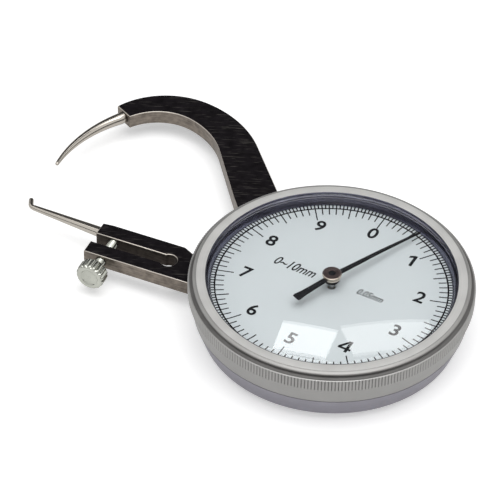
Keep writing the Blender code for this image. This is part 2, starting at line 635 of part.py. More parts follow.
def sector_outline():
    """Return the sector's outline about the jaw pivot: hub, toothed fan and an ear over the arm."""
    to_ear, from_ear = SECTOR_HUB_STEPS
    ear = radians(SECTOR_EAR_DEGREES) - 2 * pi
    ear_root = asin(SECTOR_EAR_HALF_WIDTH / SECTOR_HUB_RADIUS)
    ear_reach = SECTOR_EAR_LENGTH - SECTOR_EAR_HALF_WIDTH
    points = arc(SECTOR_OUTER_RADIUS, SECTOR_END, SECTOR_START, SECTOR_RIM_STEPS)
    points += arc(SECTOR_HUB_RADIUS, SECTOR_START, ear + ear_root, to_ear)
    points += arc(SECTOR_EAR_HALF_WIDTH, ear + pi / 2, ear - pi / 2, SECTOR_EAR_STEPS,
                  polar(ear_reach, ear))
    points += arc(SECTOR_HUB_RADIUS, ear - ear_root, SECTOR_END - 2 * pi, from_ear)
    return points


def jaw_edges():
    """Return the corner points of the moving arm at rest, by name."""
    edges = {
        "lower end": bar_point(BAR_END, BAR_LOWER),
        "lower turn": bar_point(BAR_LOWER_START, BAR_LOWER),
        "upper turn": bar_point(BAR_CHAMFER_END, BAR_UPPER - BAR_CHAMFER_DEPTH),
        "chamfer": bar_point(BAR_CHAMFER_START, BAR_UPPER),
        "nose": bar_point(BAR_END - BAR_NOSE_LENGTH, BAR_UPPER),
        "upper end": bar_point(BAR_END, BAR_UPPER - BAR_NOSE_DEPTH),
    }
    edges["hub lower"] = tangent_point(edges["lower turn"], JAW_PIVOT, JAW_HUB_RADIUS, 1)
    edges["hub upper"] = tangent_point(edges["upper turn"], JAW_PIVOT, JAW_HUB_RADIUS, -1)
    return edges


def moving_arm_outline():
    """Return the moving arm's outline at rest, with its slot and relief hole."""
    edges = jaw_edges()
    half = SLOT_WIDTH / 2
    opening = asin(half / RELIEF_HOLE_RADIUS)
    hub_start = atan2(*reversed(edges["hub lower"] - JAW_PIVOT))
    hub_end = atan2(*reversed(edges["hub upper"] - JAW_PIVOT))
    relief = []
    for i in range(RELIEF_HOLE_STEPS + 1):
        angle = -opening - (2 * pi - 2 * opening) * i / RELIEF_HOLE_STEPS
        along = SLOT_ROOT + RELIEF_HOLE_RADIUS * cos(angle)
        relief.append(bar_point(along, SLOT_MIDDLE + RELIEF_HOLE_RADIUS * sin(angle)))
    points = [edges["lower end"], edges["lower turn"]]
    points += arc(JAW_HUB_RADIUS, hub_start, hub_end, JAW_HUB_STEPS, JAW_PIVOT)
    points += [edges["upper turn"], edges["chamfer"], edges["nose"], edges["upper end"]]
    points.append(bar_point(BAR_END, SLOT_UPPER))
    points += list(reversed(relief))
    points.append(bar_point(BAR_END, SLOT_MIDDLE - half))
    return points


def fixed_arm_station(travel):
    """Return the point, heading and half width of the fixed arm at a distance along its middle."""
    heading = radians(FIXED_ARM_START_DEGREES)
    first = FIXED_ARM_FIRST_RADIUS * radians(FIXED_ARM_FIRST_DEGREES)
    second = FIXED_ARM_SECOND_RADIUS * radians(FIXED_ARM_SECOND_DEGREES)
    total = FIXED_ARM_STRAIGHT + first + second
    point = polar(min(travel, FIXED_ARM_STRAIGHT), heading, FIXED_ARM_START)
    rest = travel - FIXED_ARM_STRAIGHT
    for radius, length in ((FIXED_ARM_FIRST_RADIUS, first), (FIXED_ARM_SECOND_RADIUS, second)):
        if rest > 0:
            turn = min(rest, length) / radius
            centre = polar(radius, heading + pi / 2, point)
            point = turned_about(point, centre, turn)
            heading += turn
            rest -= length
    share = max(travel / total, 0) ** FIXED_ARM_TAPER_POWER
    width = FIXED_ARM_ROOT_WIDTH + (FIXED_ARM_END_WIDTH - FIXED_ARM_ROOT_WIDTH) * share
    return point, heading, width / 2


def fixed_arm_length():
    """Return the length of the fixed arm's middle line outside its foot."""
    first = FIXED_ARM_FIRST_RADIUS * radians(FIXED_ARM_FIRST_DEGREES)
    second = FIXED_ARM_SECOND_RADIUS * radians(FIXED_ARM_SECOND_DEGREES)
    return FIXED_ARM_STRAIGHT + first + second


def foot_crossing(side, radius):
    """Return where an edge of the fixed arm's straight root crosses a circle about the dial axis."""
    heading = radians(FIXED_ARM_START_DEGREES)
    edge = polar(FIXED_ARM_ROOT_WIDTH / 2, heading + side * pi / 2, FIXED_ARM_START)
    inward = Vector((-cos(heading), -sin(heading)))
    along = edge.dot(inward)
    travel = -along - sqrt(along ** 2 - edge.length_squared + radius ** 2)
    return edge + travel * inward


def closed_jaw_line():
    """Return two plan points on the moving arm's upper edge when the tips meet."""
    edges = jaw_edges()
    return [turned_about(edges[name], JAW_PIVOT, -JAW_SWING) for name in ("upper turn", "hub upper")]


def fixed_arm_outline():
    """Return the fixed arm's outline: a foot inside the case and the curved tapering arm."""
    length = fixed_arm_length()
    curve = length - FIXED_ARM_STRAIGHT
    travels = [FIXED_ARM_STRAIGHT * i / FIXED_ARM_STRAIGHT_STEPS
               for i in range(FIXED_ARM_STRAIGHT_STEPS)]
    travels += [FIXED_ARM_STRAIGHT + curve * i / FIXED_ARM_CURVE_STEPS
                for i in range(FIXED_ARM_CURVE_STEPS + 1)]
    stations = [fixed_arm_station(travel) for travel in travels]
    left = [polar(half, heading + pi / 2, point) for point, heading, half in stations]
    right = [polar(half, heading - pi / 2, point) for point, heading, half in stations]
    right_foot = foot_crossing(-1, FOOT_RADIUS)
    foot_start = atan2(right_foot.y, right_foot.x)
    foot_end = acos(FOOT_END_X / FOOT_RADIUS)

    start, end = closed_jaw_line()
    along = (end - start).normalized()
    start = start + FOOT_CLEARANCE * Vector((-along.y, along.x))
    inner_right = start + along * (FOOT_END_X - start.x) / along.x
    heading = radians(FIXED_ARM_START_DEGREES)
    inward = Vector((-cos(heading), -sin(heading)))
    reach = (start - left[0]).cross(along) / inward.cross(along)
    points = left + list(reversed(right))
    points += arc(FOOT_RADIUS, foot_start, foot_end, FOOT_STEPS)
    points += [inner_right, left[0] + reach * inward]
    return points


def screw_mesh(name, head_radius, head_height, shank_radius, shank_length):
    """Return a slotted screw whose head stands on height zero and whose shank points down."""
    blank = turned(name, [(0, -shank_length), (shank_radius, -shank_length), (shank_radius, 0),
                          (head_radius, 0), (head_radius, head_height), (0, head_height)],
                   SCREW_SIDES)
    reach = head_radius + CUT_OVERRUN
    half = SLOT_CUT_WIDTH / 2
    corners = [(-reach, -half), (reach, -half), (reach, half), (-reach, half)]
    slot = block(corners, head_height - SLOT_CUT_DEPTH, head_height + CUT_OVERRUN)
    return combined(blank, [slot])


def shank_gap(radius):
    """Return the radius of the hole for a shank."""
    return radius + FIT_GAP


def round_hole(radius, place, sides=BORE_SIDES):
    """Return the outline of a hole for a shank of a given radius."""
    return arc(shank_gap(radius), 0, 2 * pi * (1 - 1 / sides), sides - 1, place)


def pillar_places():
    """Return the plan places of the three pillars."""
    return [polar(PILLAR_REACH, radians(angle)) for angle in PILLAR_ANGLES_DEGREES]


def cover_screw_places():
    """Return the plan places of the back cover's screws."""
    return [polar(COVER_SCREW_REACH, radians(angle)) for angle in COVER_SCREW_ANGLES_DEGREES]


def stop_pin_place():
    """Return where the stop pin touches the open arm's lower edge."""
    edges = jaw_edges()
    start = edges["lower turn"]
    away = edges["hub lower"] - start
    outward = Vector((away.y, -away.x)).normalized()
    return start + STOP_PIN_SHARE * away + (STOP_PIN_RADIUS + FIT_GAP) * outward


def stud_place():
    """Return where the hairspring's outer end is held."""
    reach = HAIRSPRING_OUTER_RADIUS + HAIRSPRING_STRIP / 2 + FIT_GAP + STUD_RADIUS
    return polar(reach, radians(HAIRSPRING_END_DEGREES))


def spring_pin_place():
    """Return where the return spring's hook pin stands on the sector."""
    return polar(SPRING_PIN_REACH, radians(SECTOR_EAR_DEGREES), JAW_PIVOT)


def foot_screw_places():
    """Return where the two screws hold the fixed arm's foot."""
    return [polar(FOOT_RADIUS - inset, radians(angle))
            for inset, angle in zip(FOOT_SCREW_INSETS, FOOT_SCREW_ANGLES_DEGREES)]


def sector_screw_places():
    """Return where the two screws hold the sector's ear on the arm."""
    angle = radians(SECTOR_EAR_DEGREES)
    return [polar(reach, angle, JAW_PIVOT) for reach in SECTOR_SCREW_REACHES]


def jaw_notch():
    """Return the prism that opens the case's wall for the moving arm, from rest to closed."""
    edges = jaw_edges()
    across = BAR_LOWER - SEAT_GAP
    upward = Vector((0, SEAT_GAP * 2))
    top = turned_about(edges["chamfer"], JAW_PIVOT, -JAW_SWING) + upward
    bend = turned_about(edges["upper turn"], JAW_PIVOT, -JAW_SWING) + upward
    hub = turned_about(edges["hub upper"], JAW_PIVOT, -JAW_SWING) + upward
    reach = (CASE_UPPER_RADIUS - CASE_WALL_INNER_RADIUS) * NOTCH_REACH_SHARE
    corners = [bar_point(BAR_LOWER_START, across), bar_point(BAR_CHAMFER_START, across),
               top, bend, bend + reach * (hub - bend).normalized()]
    return block(corners, FLOOR_TOP + NOTCH_SILL, NECK_TOP + CUT_OVERRUN)


def fixed_notch():
    """Return the prism that opens the case's wall for the fixed arm's root."""
    heading = radians(FIXED_ARM_START_DEGREES)
    half = FIXED_ARM_ROOT_WIDTH / 2 + FIT_GAP
    inward = FOOT_RADIUS - FIXED_ARM_START.length - FIXED_NOTCH_OVERRUN
    corners = []
    for travel, side in ((inward, 1), (inward, -1), (0, -1), (0, 1)):
        middle = polar(travel, heading, FIXED_ARM_START)
        corners.append(polar(half, heading + side * pi / 2, middle))
    return block(corners, FLOOR_TOP + NOTCH_SILL, NECK_TOP + CUT_OVERRUN)


def make_case(finishes):
    """Build the case body and its back cover with screws."""
    groove_bottom = (CASE_SHOULDER + NECK_TOP) / 2 - RETAINING_GROOVE_HEIGHT / 2
    groove_top = groove_bottom + RETAINING_GROOVE_HEIGHT
    groove_radius = CASE_NECK_RADIUS - RETAINING_GROOVE_DEPTH
    profile = [(0, CASE_BOTTOM), (CASE_LOWER_RADIUS, CASE_BOTTOM), (CASE_UPPER_RADIUS, CASE_SHOULDER),
               (CASE_NECK_RADIUS, CASE_SHOULDER), (CASE_NECK_RADIUS, groove_bottom),
               (groove_radius, groove_bottom), (groove_radius, groove_top),
               (CASE_NECK_RADIUS, groove_top), (CASE_NECK_RADIUS, NECK_TOP),
               (CASE_WALL_INNER_RADIUS, NECK_TOP), (CASE_WALL_INNER_RADIUS, FLOOR_TOP), (0, FLOOR_TOP)]
    low = CASE_BOTTOM - CUT_OVERRUN
    high = FLOOR_TOP + CUT_OVERRUN
    holes = [(BUSH_RADIUS, DIAL_AXIS), (BUSH_RADIUS, INTERMEDIATE_AXIS),
             (JAW_POST_FOOT_RADIUS, JAW_PIVOT), (STOP_PIN_RADIUS, stop_pin_place()),
             (STUD_RADIUS, stud_place())]
    holes += [(PILLAR_FOOT_RADIUS, place) for place in pillar_places()]
    holes += [(COVER_SCREW_SHANK_RADIUS, place) for place in cover_screw_places()]
    holes += [(ARM_SCREW_SHANK_RADIUS, place) for place in foot_screw_places()]
    tools = [pin(shank_gap(radius), low, high, place, SCREW_SIDES) for radius, place in holes]
    body = combined(turned("case_body", profile, CASE_SIDES), [jaw_notch(), fixed_notch()])
    piece("case_body", combined(body, tools), finishes["case"])

    cover = turned("back_cover", [(0, 0), (BACK_COVER_BOTTOM_RADIUS, 0),
                                  (BACK_COVER_TOP_RADIUS, BACK_COVER_THICKNESS),
                                  (0, BACK_COVER_THICKNESS)], RING_SIDES)
    head_hole = COVER_SCREW_HEAD_RADIUS + FIT_GAP
    seat = COVER_SCREW_HEAD_HEIGHT + SCREW_SEAT_GAP
    tools = []
    for place in cover_screw_places():
        bore = turned("bore", [(0, -CUT_OVERRUN), (head_hole, -CUT_OVERRUN), (head_hole, seat),
                               (shank_gap(COVER_SCREW_SHANK_RADIUS), seat),
                               (shank_gap(COVER_SCREW_SHANK_RADIUS), BACK_COVER_THICKNESS + CUT_OVERRUN),
                               (0, BACK_COVER_THICKNESS + CUT_OVERRUN)], SCREW_SIDES)
        tools.append(moved(bore, place.x, place.y))
    piece("back_cover", combined(cover, tools), finishes["case"])
    shank = FLOOR_TOP - COVER_SCREW_HEAD_HEIGHT - SEAT_GAP
    mesh = screw_mesh("back_cover_screw", COVER_SCREW_HEAD_RADIUS, COVER_SCREW_HEAD_HEIGHT,
                      COVER_SCREW_SHANK_RADIUS, shank)
    for number, place in enumerate(cover_screw_places(), 1):
        piece(f"back_cover_screw_{number}", mesh, finishes["steel"], place=place,
              height=COVER_SCREW_HEAD_HEIGHT, tilt=(pi, 0, 0))


def make_fixed_arm(finishes):
    """Build the fixed arm with its foot screws and the bent needle."""
    tip, heading = fixed_arm_station(fixed_arm_length())[:2]
    bore = cross_pin(shank_gap(NEEDLE_PEG_RADIUS), polar(CUT_OVERRUN, heading, tip),
                     polar(-NEEDLE_PEG_LENGTH - FIT_GAP, heading, tip), ARM_MIDDLE, ROD_SIDES)
    holes = [round_hole(ARM_SCREW_SHANK_RADIUS, place) for place in foot_screw_places()]
    arm = plate("fixed_arm", fixed_arm_outline(), holes, ARM_BOTTOM, ARM_TOP)
    piece("fixed_arm", combined(arm, [bore]), finishes["arm"])

    shank = ARM_TOP + SCREW_SEAT_GAP - CASE_BOTTOM - FIT_GAP
    mesh = screw_mesh("fixed_arm_screw", ARM_SCREW_HEAD_RADIUS, ARM_SCREW_HEAD_HEIGHT,
                      ARM_SCREW_SHANK_RADIUS, shank)
    for number, place in enumerate(foot_screw_places(), 1):
        piece(f"fixed_arm_screw_{number}", mesh, finishes["steel"], place=place,
              height=ARM_TOP + SCREW_SEAT_GAP)

    start = radians(NEEDLE_START_DEGREES)
    end = radians(NEEDLE_END_DEGREES)
    centre = polar(-NEEDLE_ARC_RADIUS, start, polar(NEEDLE_ROOT_LENGTH, heading, tip))
    path = [(polar(-NEEDLE_PEG_LENGTH, heading, tip), heading, NEEDLE_PEG_RADIUS),
            (polar(FIT_GAP, heading, tip), heading, NEEDLE_PEG_RADIUS),
            (polar(FIT_GAP, heading, tip), heading, NEEDLE_ROOT_RADIUS)]
    for i in range(1, NEEDLE_STEPS + 1):
        share = i / NEEDLE_STEPS
        angle = start + (end - start) * share
        radius = NEEDLE_ROOT_RADIUS + (NEEDLE_TIP_RADIUS - NEEDLE_ROOT_RADIUS) * share
        path.append((polar(NEEDLE_ARC_RADIUS, angle, centre), angle + pi / 2, radius))
    for share in NEEDLE_POINT_SHARES:
        angle = end + NEEDLE_TIP_RADIUS * share / NEEDLE_ARC_RADIUS
        radius = NEEDLE_TIP_RADIUS * sqrt(1 - share ** 2)
        path.append((polar(NEEDLE_ARC_RADIUS, angle, centre), angle + pi / 2, radius))
    piece("fixed_needle", rod("fixed_needle", path, ROD_SIDES, ARM_MIDDLE), finishes["bright"])


def make_moving_arm(finishes, joint):
    """Build the slotted moving arm with its stylus."""
    holes = [round_hole(JAW_POST_RADIUS, JAW_PIVOT, PIN_SIDES)]
    holes += [round_hole(SMALL_SCREW_SHANK_RADIUS, place) for place in sector_screw_places()]
    arm = plate("moving_arm", moving_arm_outline(), holes, ARM_BOTTOM, ARM_TOP)
    outside = BAR_LOWER - CUT_OVERRUN
    screw_bore = cross_pin(shank_gap(ADJUSTER_SHANK_RADIUS), bar_point(ADJUSTER_ALONG, outside),
                           bar_point(ADJUSTER_ALONG, ADJUSTER_SHANK_END + FIT_GAP), ARM_MIDDLE)
    heading = radians(STYLUS_ANGLE_DEGREES)
    root = bar_point(BAR_END + FIT_GAP, STYLUS_ACROSS)
    stylus_bore = cross_pin(shank_gap(STYLUS_PEG_RADIUS), polar(CUT_OVERRUN, heading, root),
                            polar(-STYLUS_PEG_LENGTH - FIT_GAP * 2, heading, root), ARM_MIDDLE,
                            ROD_SIDES)
    arm = combined(combined(arm, [screw_bore]), [stylus_bore])
    piece("moving_arm", moved(arm, -JAW_PIVOT.x, -JAW_PIVOT.y), finishes["arm"], joint, JAW_PIVOT)
    path = [(polar(-STYLUS_PEG_LENGTH, heading, root), heading, STYLUS_PEG_RADIUS),
            (root, heading, STYLUS_PEG_RADIUS)]
    for i in range(STYLUS_STEPS + 1):
        share = i / STYLUS_STEPS
        radius = STYLUS_ROOT_RADIUS + (STYLUS_BEND_RADIUS - STYLUS_ROOT_RADIUS) * share
        path.append((polar(STYLUS_LENGTH * share, heading, root), heading, radius))
    bend_start = polar(STYLUS_LENGTH, heading, root)
    centre = polar(STYLUS_BEND_INSIDE, heading - pi / 2, bend_start)
    turn = heading - radians(STYLUS_TIP_ANGLE_DEGREES)
    for i in range(1, STYLUS_BEND_STEPS + 1):
        bent = turn * i / STYLUS_BEND_STEPS
        path.append((turned_about(bend_start, centre, -bent), heading - bent, STYLUS_TIP_RADIUS))
    last, last_heading = path[-1][:2]
    path.append((polar(STYLUS_TIP_LENGTH, last_heading, last), last_heading, STYLUS_TIP_RADIUS))
    stylus = rod("stylus", path, ROD_SIDES, ARM_MIDDLE)
    piece("stylus", moved(stylus, -JAW_PIVOT.x, -JAW_PIVOT.y), finishes["bright"], joint, JAW_PIVOT)


def make_adjuster(finishes, joint):
    """Build the ribbed thumb screw. Its own Z runs from the outer face along the shank."""
    tip = ADJUSTER_SHANK_END - ADJUSTER_FACE_ACROSS
    sides = 2 * ADJUSTER_RIBS

    def ring(radius, height, depth=0.0):
        angles = [2 * pi * i / sides for i in range(sides)]
        radii = [radius - depth * (i % 2) for i in range(sides)]
        return [(radii[i] * cos(angles[i]), radii[i] * sin(angles[i]), height) for i in range(sides)]

    top = ADJUSTER_HEAD_THICKNESS
    sections = [ring(ADJUSTER_DISH_RADIUS, ADJUSTER_DISH_DEPTH),
                ring(ADJUSTER_DISH_RADIUS, 0),
                ring(ADJUSTER_HEAD_RADIUS - ADJUSTER_CHAMFER, 0),
                ring(ADJUSTER_HEAD_RADIUS, ADJUSTER_CHAMFER, ADJUSTER_RIB_DEPTH),
                ring(ADJUSTER_HEAD_RADIUS, top - ADJUSTER_CHAMFER, ADJUSTER_RIB_DEPTH),
                ring(ADJUSTER_HEAD_RADIUS - ADJUSTER_CHAMFER, top)]
    head = stacked("adjusting_screw", sections)
    shank = pin(ADJUSTER_SHANK_RADIUS, top / 2, tip)
    mesh = combined(head, [shank], "UNION")
    face = bar_point(ADJUSTER_ALONG, ADJUSTER_FACE_ACROSS)
    sideways = radians(BAR_ANGLE_DEGREES) - pi / 2
    mesh.transform(Matrix.Rotation(sideways, 4, "Z") @ Matrix.Rotation(pi / 2, 4, "Y"))
    piece("adjusting_screw", mesh, finishes["nickel"], joint, face, ARM_MIDDLE)


def make_jaw_pivot(finishes, joint):
    """Build the post, its screw, the stop pin, the sector and the return spring."""
    post_top = SECTOR_TOP + FIT_GAP
    bore = JAW_SCREW_SHANK_RADIUS + FIT_GAP
    bore_bottom = post_top - JAW_SCREW_SHANK_LENGTH - FIT_GAP
    foot = FLOOR_TOP + FIT_GAP
    profile = [(0, CASE_BOTTOM + FIT_GAP), (JAW_POST_FOOT_RADIUS, CASE_BOTTOM + FIT_GAP),
               (JAW_POST_FOOT_RADIUS, foot), (JAW_POST_RADIUS, foot), (JAW_POST_RADIUS, post_top),
               (bore, post_top), (bore, bore_bottom), (0, bore_bottom)]
    piece("jaw_pivot_post", turned("jaw_pivot_post", profile, PIN_SIDES), finishes["steel"],
          place=JAW_PIVOT)
    screw = screw_mesh("jaw_pivot_screw", JAW_SCREW_HEAD_RADIUS, JAW_SCREW_HEAD_HEIGHT,
                       JAW_SCREW_SHANK_RADIUS, JAW_SCREW_SHANK_LENGTH)
    piece("jaw_pivot_screw", screw, finishes["steel"], place=JAW_PIVOT,
          height=post_top + SCREW_SEAT_GAP)
    stop = pin(STOP_PIN_RADIUS, CASE_BOTTOM + FIT_GAP, ARM_TOP)
    piece("jaw_stop_pin", stop, finishes["steel"], place=stop_pin_place())

    holes = [sector_window(), round_hole(JAW_POST_RADIUS, DIAL_AXIS, PIN_SIDES)]
    holes += [round_hole(SMALL_SCREW_SHANK_RADIUS, place - JAW_PIVOT)
              for place in sector_screw_places()]
    holes.append(round_hole(SPRING_PIN_RADIUS, spring_pin_place() - JAW_PIVOT))
    sector = plate("sector_gear", sector_outline(), holes, SECTOR_BOTTOM, SECTOR_TOP)
    piece("sector_gear", sector, finishes["brass"], joint, JAW_PIVOT)
    screw = screw_mesh("sector_screw", SMALL_SCREW_HEAD_RADIUS, SMALL_SCREW_HEAD_HEIGHT,
                       SMALL_SCREW_SHANK_RADIUS, SECTOR_SCREW_SHANK_LENGTH)
    for number, place in enumerate(sector_screw_places(), 1):
        piece(f"sector_screw_{number}", screw, finishes["steel"], joint, place,
              SECTOR_TOP + SCREW_SEAT_GAP)

    spring_bottom = SECTOR_TOP + SEAT_GAP
    spring_top = spring_bottom + RETURN_SPRING_HEIGHT
    hook = pin(SPRING_PIN_RADIUS, SECTOR_BOTTOM, spring_top)
    piece("spring_hook_pin", hook, finishes["steel"], joint, spring_pin_place())
    reach = SPRING_PIN_RADIUS + FIT_GAP * 2
    end_angle = radians(SECTOR_EAR_DEGREES) + reach / SPRING_PIN_REACH
    inner = JAW_SCREW_HEAD_RADIUS + FIT_GAP + RETURN_SPRING_STRIP / 2
    spring = spiral_strip("jaw_return_spring", inner, RETURN_SPRING_OUTER_RADIUS,
                          RETURN_SPRING_TURNS, end_angle, RETURN_SPRING_STRIP, RETURN_SPRING_HEIGHT)
    piece("jaw_return_spring", spring, finishes["spring"], place=JAW_PIVOT, height=spring_bottom)


def make_arbor(name, pinion_outline, pinion_bottom, pinion_top, profile):
    """Return an arbor: a turned shaft joined with its pinion."""
    shaft = turned(name, profile, SCREW_SIDES)
    pinion = plate("pinion", pinion_outline, [], pinion_bottom, pinion_top)
    return combined(pinion, [shaft], "UNION")


def wheel_windows(hub, rim):
    """Return the openings between the wheel's spokes."""
    windows = []
    half_spoke = radians(WHEEL_SPOKE_DEGREES) / 2
    for number in range(WHEEL_CROSSINGS):
        start = 2 * pi * number / WHEEL_CROSSINGS
        end = start + 2 * pi / WHEEL_CROSSINGS
        window = arc(rim, start + half_spoke / 2, end - half_spoke / 2, WHEEL_RIM_STEPS)
        window += arc(hub, end - half_spoke, start + half_spoke, WHEEL_HUB_STEPS)
        windows.append(window)
    return windows


def make_gear_train(finishes, intermediate, pointer):
    """Build the intermediate arbor and wheel, and the centre arbor with the hairspring's collet."""
    foot = CASE_BOTTOM + FIT_GAP
    bush_top = FLOOR_TOP + FIT_GAP + BUSH_FLANGE_THICKNESS
    shoulder = bush_top + FIT_GAP
    pinion_bottom = SECTOR_BOTTOM - PINION_OVERHANG
    pinion_top = SECTOR_TOP + PINION_OVERHANG
    seat = WHEEL_BOTTOM - SCREW_SEAT_GAP
    upper_shoulder = PLATE_BOTTOM - SCREW_SEAT_GAP
    profile = [(0, foot), (ARBOR_PIVOT_RADIUS, foot), (ARBOR_PIVOT_RADIUS, shoulder),
               (ARBOR_RADIUS, shoulder), (ARBOR_RADIUS, pinion_top - PINION_OVERHANG),
               (ARBOR_SHOULDER_RADIUS, pinion_top - PINION_OVERHANG),
               (ARBOR_SHOULDER_RADIUS, seat), (ARBOR_RADIUS, seat), (ARBOR_RADIUS, upper_shoulder),
               (ARBOR_PIVOT_RADIUS, upper_shoulder), (ARBOR_PIVOT_RADIUS, PLATE_TOP),
               (0, PLATE_TOP)]
    teeth = gear_outline(INTERMEDIATE_PINION_TEETH, SECTOR_MESH_ANGLE)
    arbor = make_arbor("intermediate_arbor", teeth, pinion_bottom, pinion_top, profile)
    piece("intermediate_arbor", arbor, finishes["steel"], intermediate, INTERMEDIATE_AXIS)
    rim = WHEEL_PITCH_RADIUS * WHEEL_RIM_SHARE
    hub = WHEEL_PITCH_RADIUS * WHEEL_HUB_SHARE
    bore = arc(ARBOR_RADIUS + SCREW_SEAT_GAP, 0, 2 * pi * (1 - 1 / BORE_SIDES), BORE_SIDES - 1)
    wheel = plate("intermediate_wheel", gear_outline(WHEEL_TEETH, WHEEL_MESH_ANGLE),
                  [bore] + wheel_windows(hub, rim), WHEEL_BOTTOM, WHEEL_TOP)
    piece("intermediate_wheel", wheel, finishes["brass"], intermediate, INTERMEDIATE_AXIS)

    pinion_bottom = WHEEL_BOTTOM - PINION_OVERHANG
    pinion_top = WHEEL_TOP + PINION_OVERHANG / 2
    profile = [(0, foot), (ARBOR_PIVOT_RADIUS, foot), (ARBOR_PIVOT_RADIUS, shoulder),
               (ARBOR_RADIUS, shoulder), (ARBOR_RADIUS, upper_shoulder),
               (POINTER_ARBOR_RADIUS, upper_shoulder),
               (POINTER_ARBOR_RADIUS, CAP_BOTTOM - FIT_GAP), (0, CAP_BOTTOM - FIT_GAP)]
    teeth = gear_outline(CENTRE_PINION_TEETH,
                         WHEEL_MESH_ANGLE + pi + pi / CENTRE_PINION_TEETH)
    arbor = make_arbor("centre_arbor", teeth, pinion_bottom, pinion_top, profile)
    piece("centre_arbor", arbor, finishes["steel"], pointer)
    collet_profile = [(ARBOR_RADIUS + SCREW_SEAT_GAP, 0), (COLLET_RADIUS, 0),
                      (COLLET_RADIUS, COLLET_HEIGHT), (ARBOR_RADIUS + SCREW_SEAT_GAP, COLLET_HEIGHT)]
    collet = turned("hairspring_collet", collet_profile, SCREW_SIDES, closed=True)
    piece("hairspring_collet", collet, finishes["brass"], pointer,
          height=HAIRSPRING_BOTTOM - (COLLET_HEIGHT - HAIRSPRING_HEIGHT) / 2)
    inner = COLLET_RADIUS + FIT_GAP + HAIRSPRING_STRIP / 2
    spring = spiral_strip("hairspring", inner, HAIRSPRING_OUTER_RADIUS, HAIRSPRING_TURNS,
                          radians(HAIRSPRING_END_DEGREES), HAIRSPRING_STRIP, HAIRSPRING_HEIGHT)
    piece("hairspring", spring, finishes["spring"], height=HAIRSPRING_BOTTOM)
    stud = pin(STUD_RADIUS, foot, HAIRSPRING_BOTTOM + HAIRSPRING_HEIGHT)
    piece("hairspring_stud", stud, finishes["brass"], place=stud_place())


def make_bushes(finishes):
    """Build the four flanged bushes, two in the case floor and two in the movement plate."""
    def bush(name, bore, length, place, height, tilt):
        profile = [(bore, 0), (BUSH_FLANGE_RADIUS, 0), (BUSH_FLANGE_RADIUS, -BUSH_FLANGE_THICKNESS),
                   (BUSH_RADIUS, -BUSH_FLANGE_THICKNESS), (BUSH_RADIUS, -length), (bore, -length)]
        mesh = turned(name, profile, SCREW_SIDES, closed=True)
        piece(name, mesh, finishes["brass"], place=place, height=height, tilt=tilt)

    top = FLOOR_TOP + SCREW_SEAT_GAP + BUSH_FLANGE_THICKNESS
    length = top - CASE_BOTTOM - FIT_GAP
    bore = ARBOR_PIVOT_RADIUS + BUSH_BORE_GAP
    bush("centre_bush_lower", bore, length, DIAL_AXIS, top, None)
    bush("intermediate_bush_lower", bore, length, INTERMEDIATE_AXIS, top, None)
    top = PLATE_TOP + SCREW_SEAT_GAP + BUSH_FLANGE_THICKNESS
    length = top - PLATE_BOTTOM
    bush("intermediate_bush_upper", bore, length, INTERMEDIATE_AXIS, top, None)
    bush("centre_bush_upper", POINTER_ARBOR_RADIUS + BUSH_BORE_GAP, length, DIAL_AXIS, top, None)


def make_movement_plate(finishes):
    """Build the movement plate, its pillars and their screws."""
    holes = [round_hole(BUSH_RADIUS, place) for place in (DIAL_AXIS, INTERMEDIATE_AXIS)]
    holes += [round_hole(SMALL_SCREW_SHANK_RADIUS, place) for place in pillar_places()]
    outer_steps, inner_steps = PLATE_WINDOW_STEPS
    for start, end in PLATE_WINDOWS_DEGREES:
        window = arc(PLATE_WINDOW_OUTER_RADIUS, radians(start), radians(end), outer_steps)
        window += arc(PLATE_WINDOW_INNER_RADIUS, radians(end), radians(start), inner_steps)
        holes.append(window)
    outline = arc(PLATE_RADIUS, 0, 2 * pi * (1 - 1 / PLATE_STEPS), PLATE_STEPS - 1)
    mesh = plate("movement_plate", outline, holes, PLATE_BOTTOM, PLATE_TOP)
    piece("movement_plate", mesh, finishes["brass"])
    top = PLATE_BOTTOM - FIT_GAP
    bottom = FLOOR_TOP + FIT_GAP
    bore = shank_gap(SMALL_SCREW_SHANK_RADIUS)
    bore_bottom = top - SMALL_SCREW_SHANK_LENGTH
    profile = [(0, bottom - PILLAR_FOOT_LENGTH), (PILLAR_FOOT_RADIUS, bottom - PILLAR_FOOT_LENGTH),
               (PILLAR_FOOT_RADIUS, bottom), (PILLAR_RADIUS, bottom), (PILLAR_RADIUS, top),
               (bore, top), (bore, bore_bottom), (0, bore_bottom)]
    pillar = turned("pillar", profile, SCREW_SIDES)
    screw = screw_mesh("pillar_screw", SMALL_SCREW_HEAD_RADIUS, SMALL_SCREW_HEAD_HEIGHT,
                       SMALL_SCREW_SHANK_RADIUS, SMALL_SCREW_SHANK_LENGTH)
    for number, place in enumerate(pillar_places(), 1):
        piece(f"pillar_{number}", pillar, finishes["brass"], place=place)
        piece(f"pillar_screw_{number}", screw, finishes["steel"], place=place,
              height=PLATE_TOP + SCREW_SEAT_GAP)


def crystal_profile():
    """Return the crystal's half section: a flat rim and a low dome of even thickness."""
    ball = (CRYSTAL_DOME_RADIUS ** 2 + CRYSTAL_DOME_RISE ** 2) / (2 * CRYSTAL_DOME_RISE)

    def rise(radius):
        return sqrt(ball ** 2 - radius ** 2) - (ball - CRYSTAL_DOME_RISE)

    radii = [CRYSTAL_DOME_RADIUS * i / CRYSTAL_STEPS for i in range(CRYSTAL_STEPS + 1)]
    lower = [(radius, CRYSTAL_BOTTOM + rise(radius)) for radius in radii]
    upper = [(radius, CRYSTAL_BOTTOM + CRYSTAL_THICKNESS + rise(radius)) for radius in radii]
    rim = [(DIAL_RADIUS, CRYSTAL_BOTTOM), (DIAL_RADIUS, CRYSTAL_BOTTOM + CRYSTAL_THICKNESS)]
    return lower + rim + list(reversed(upper))


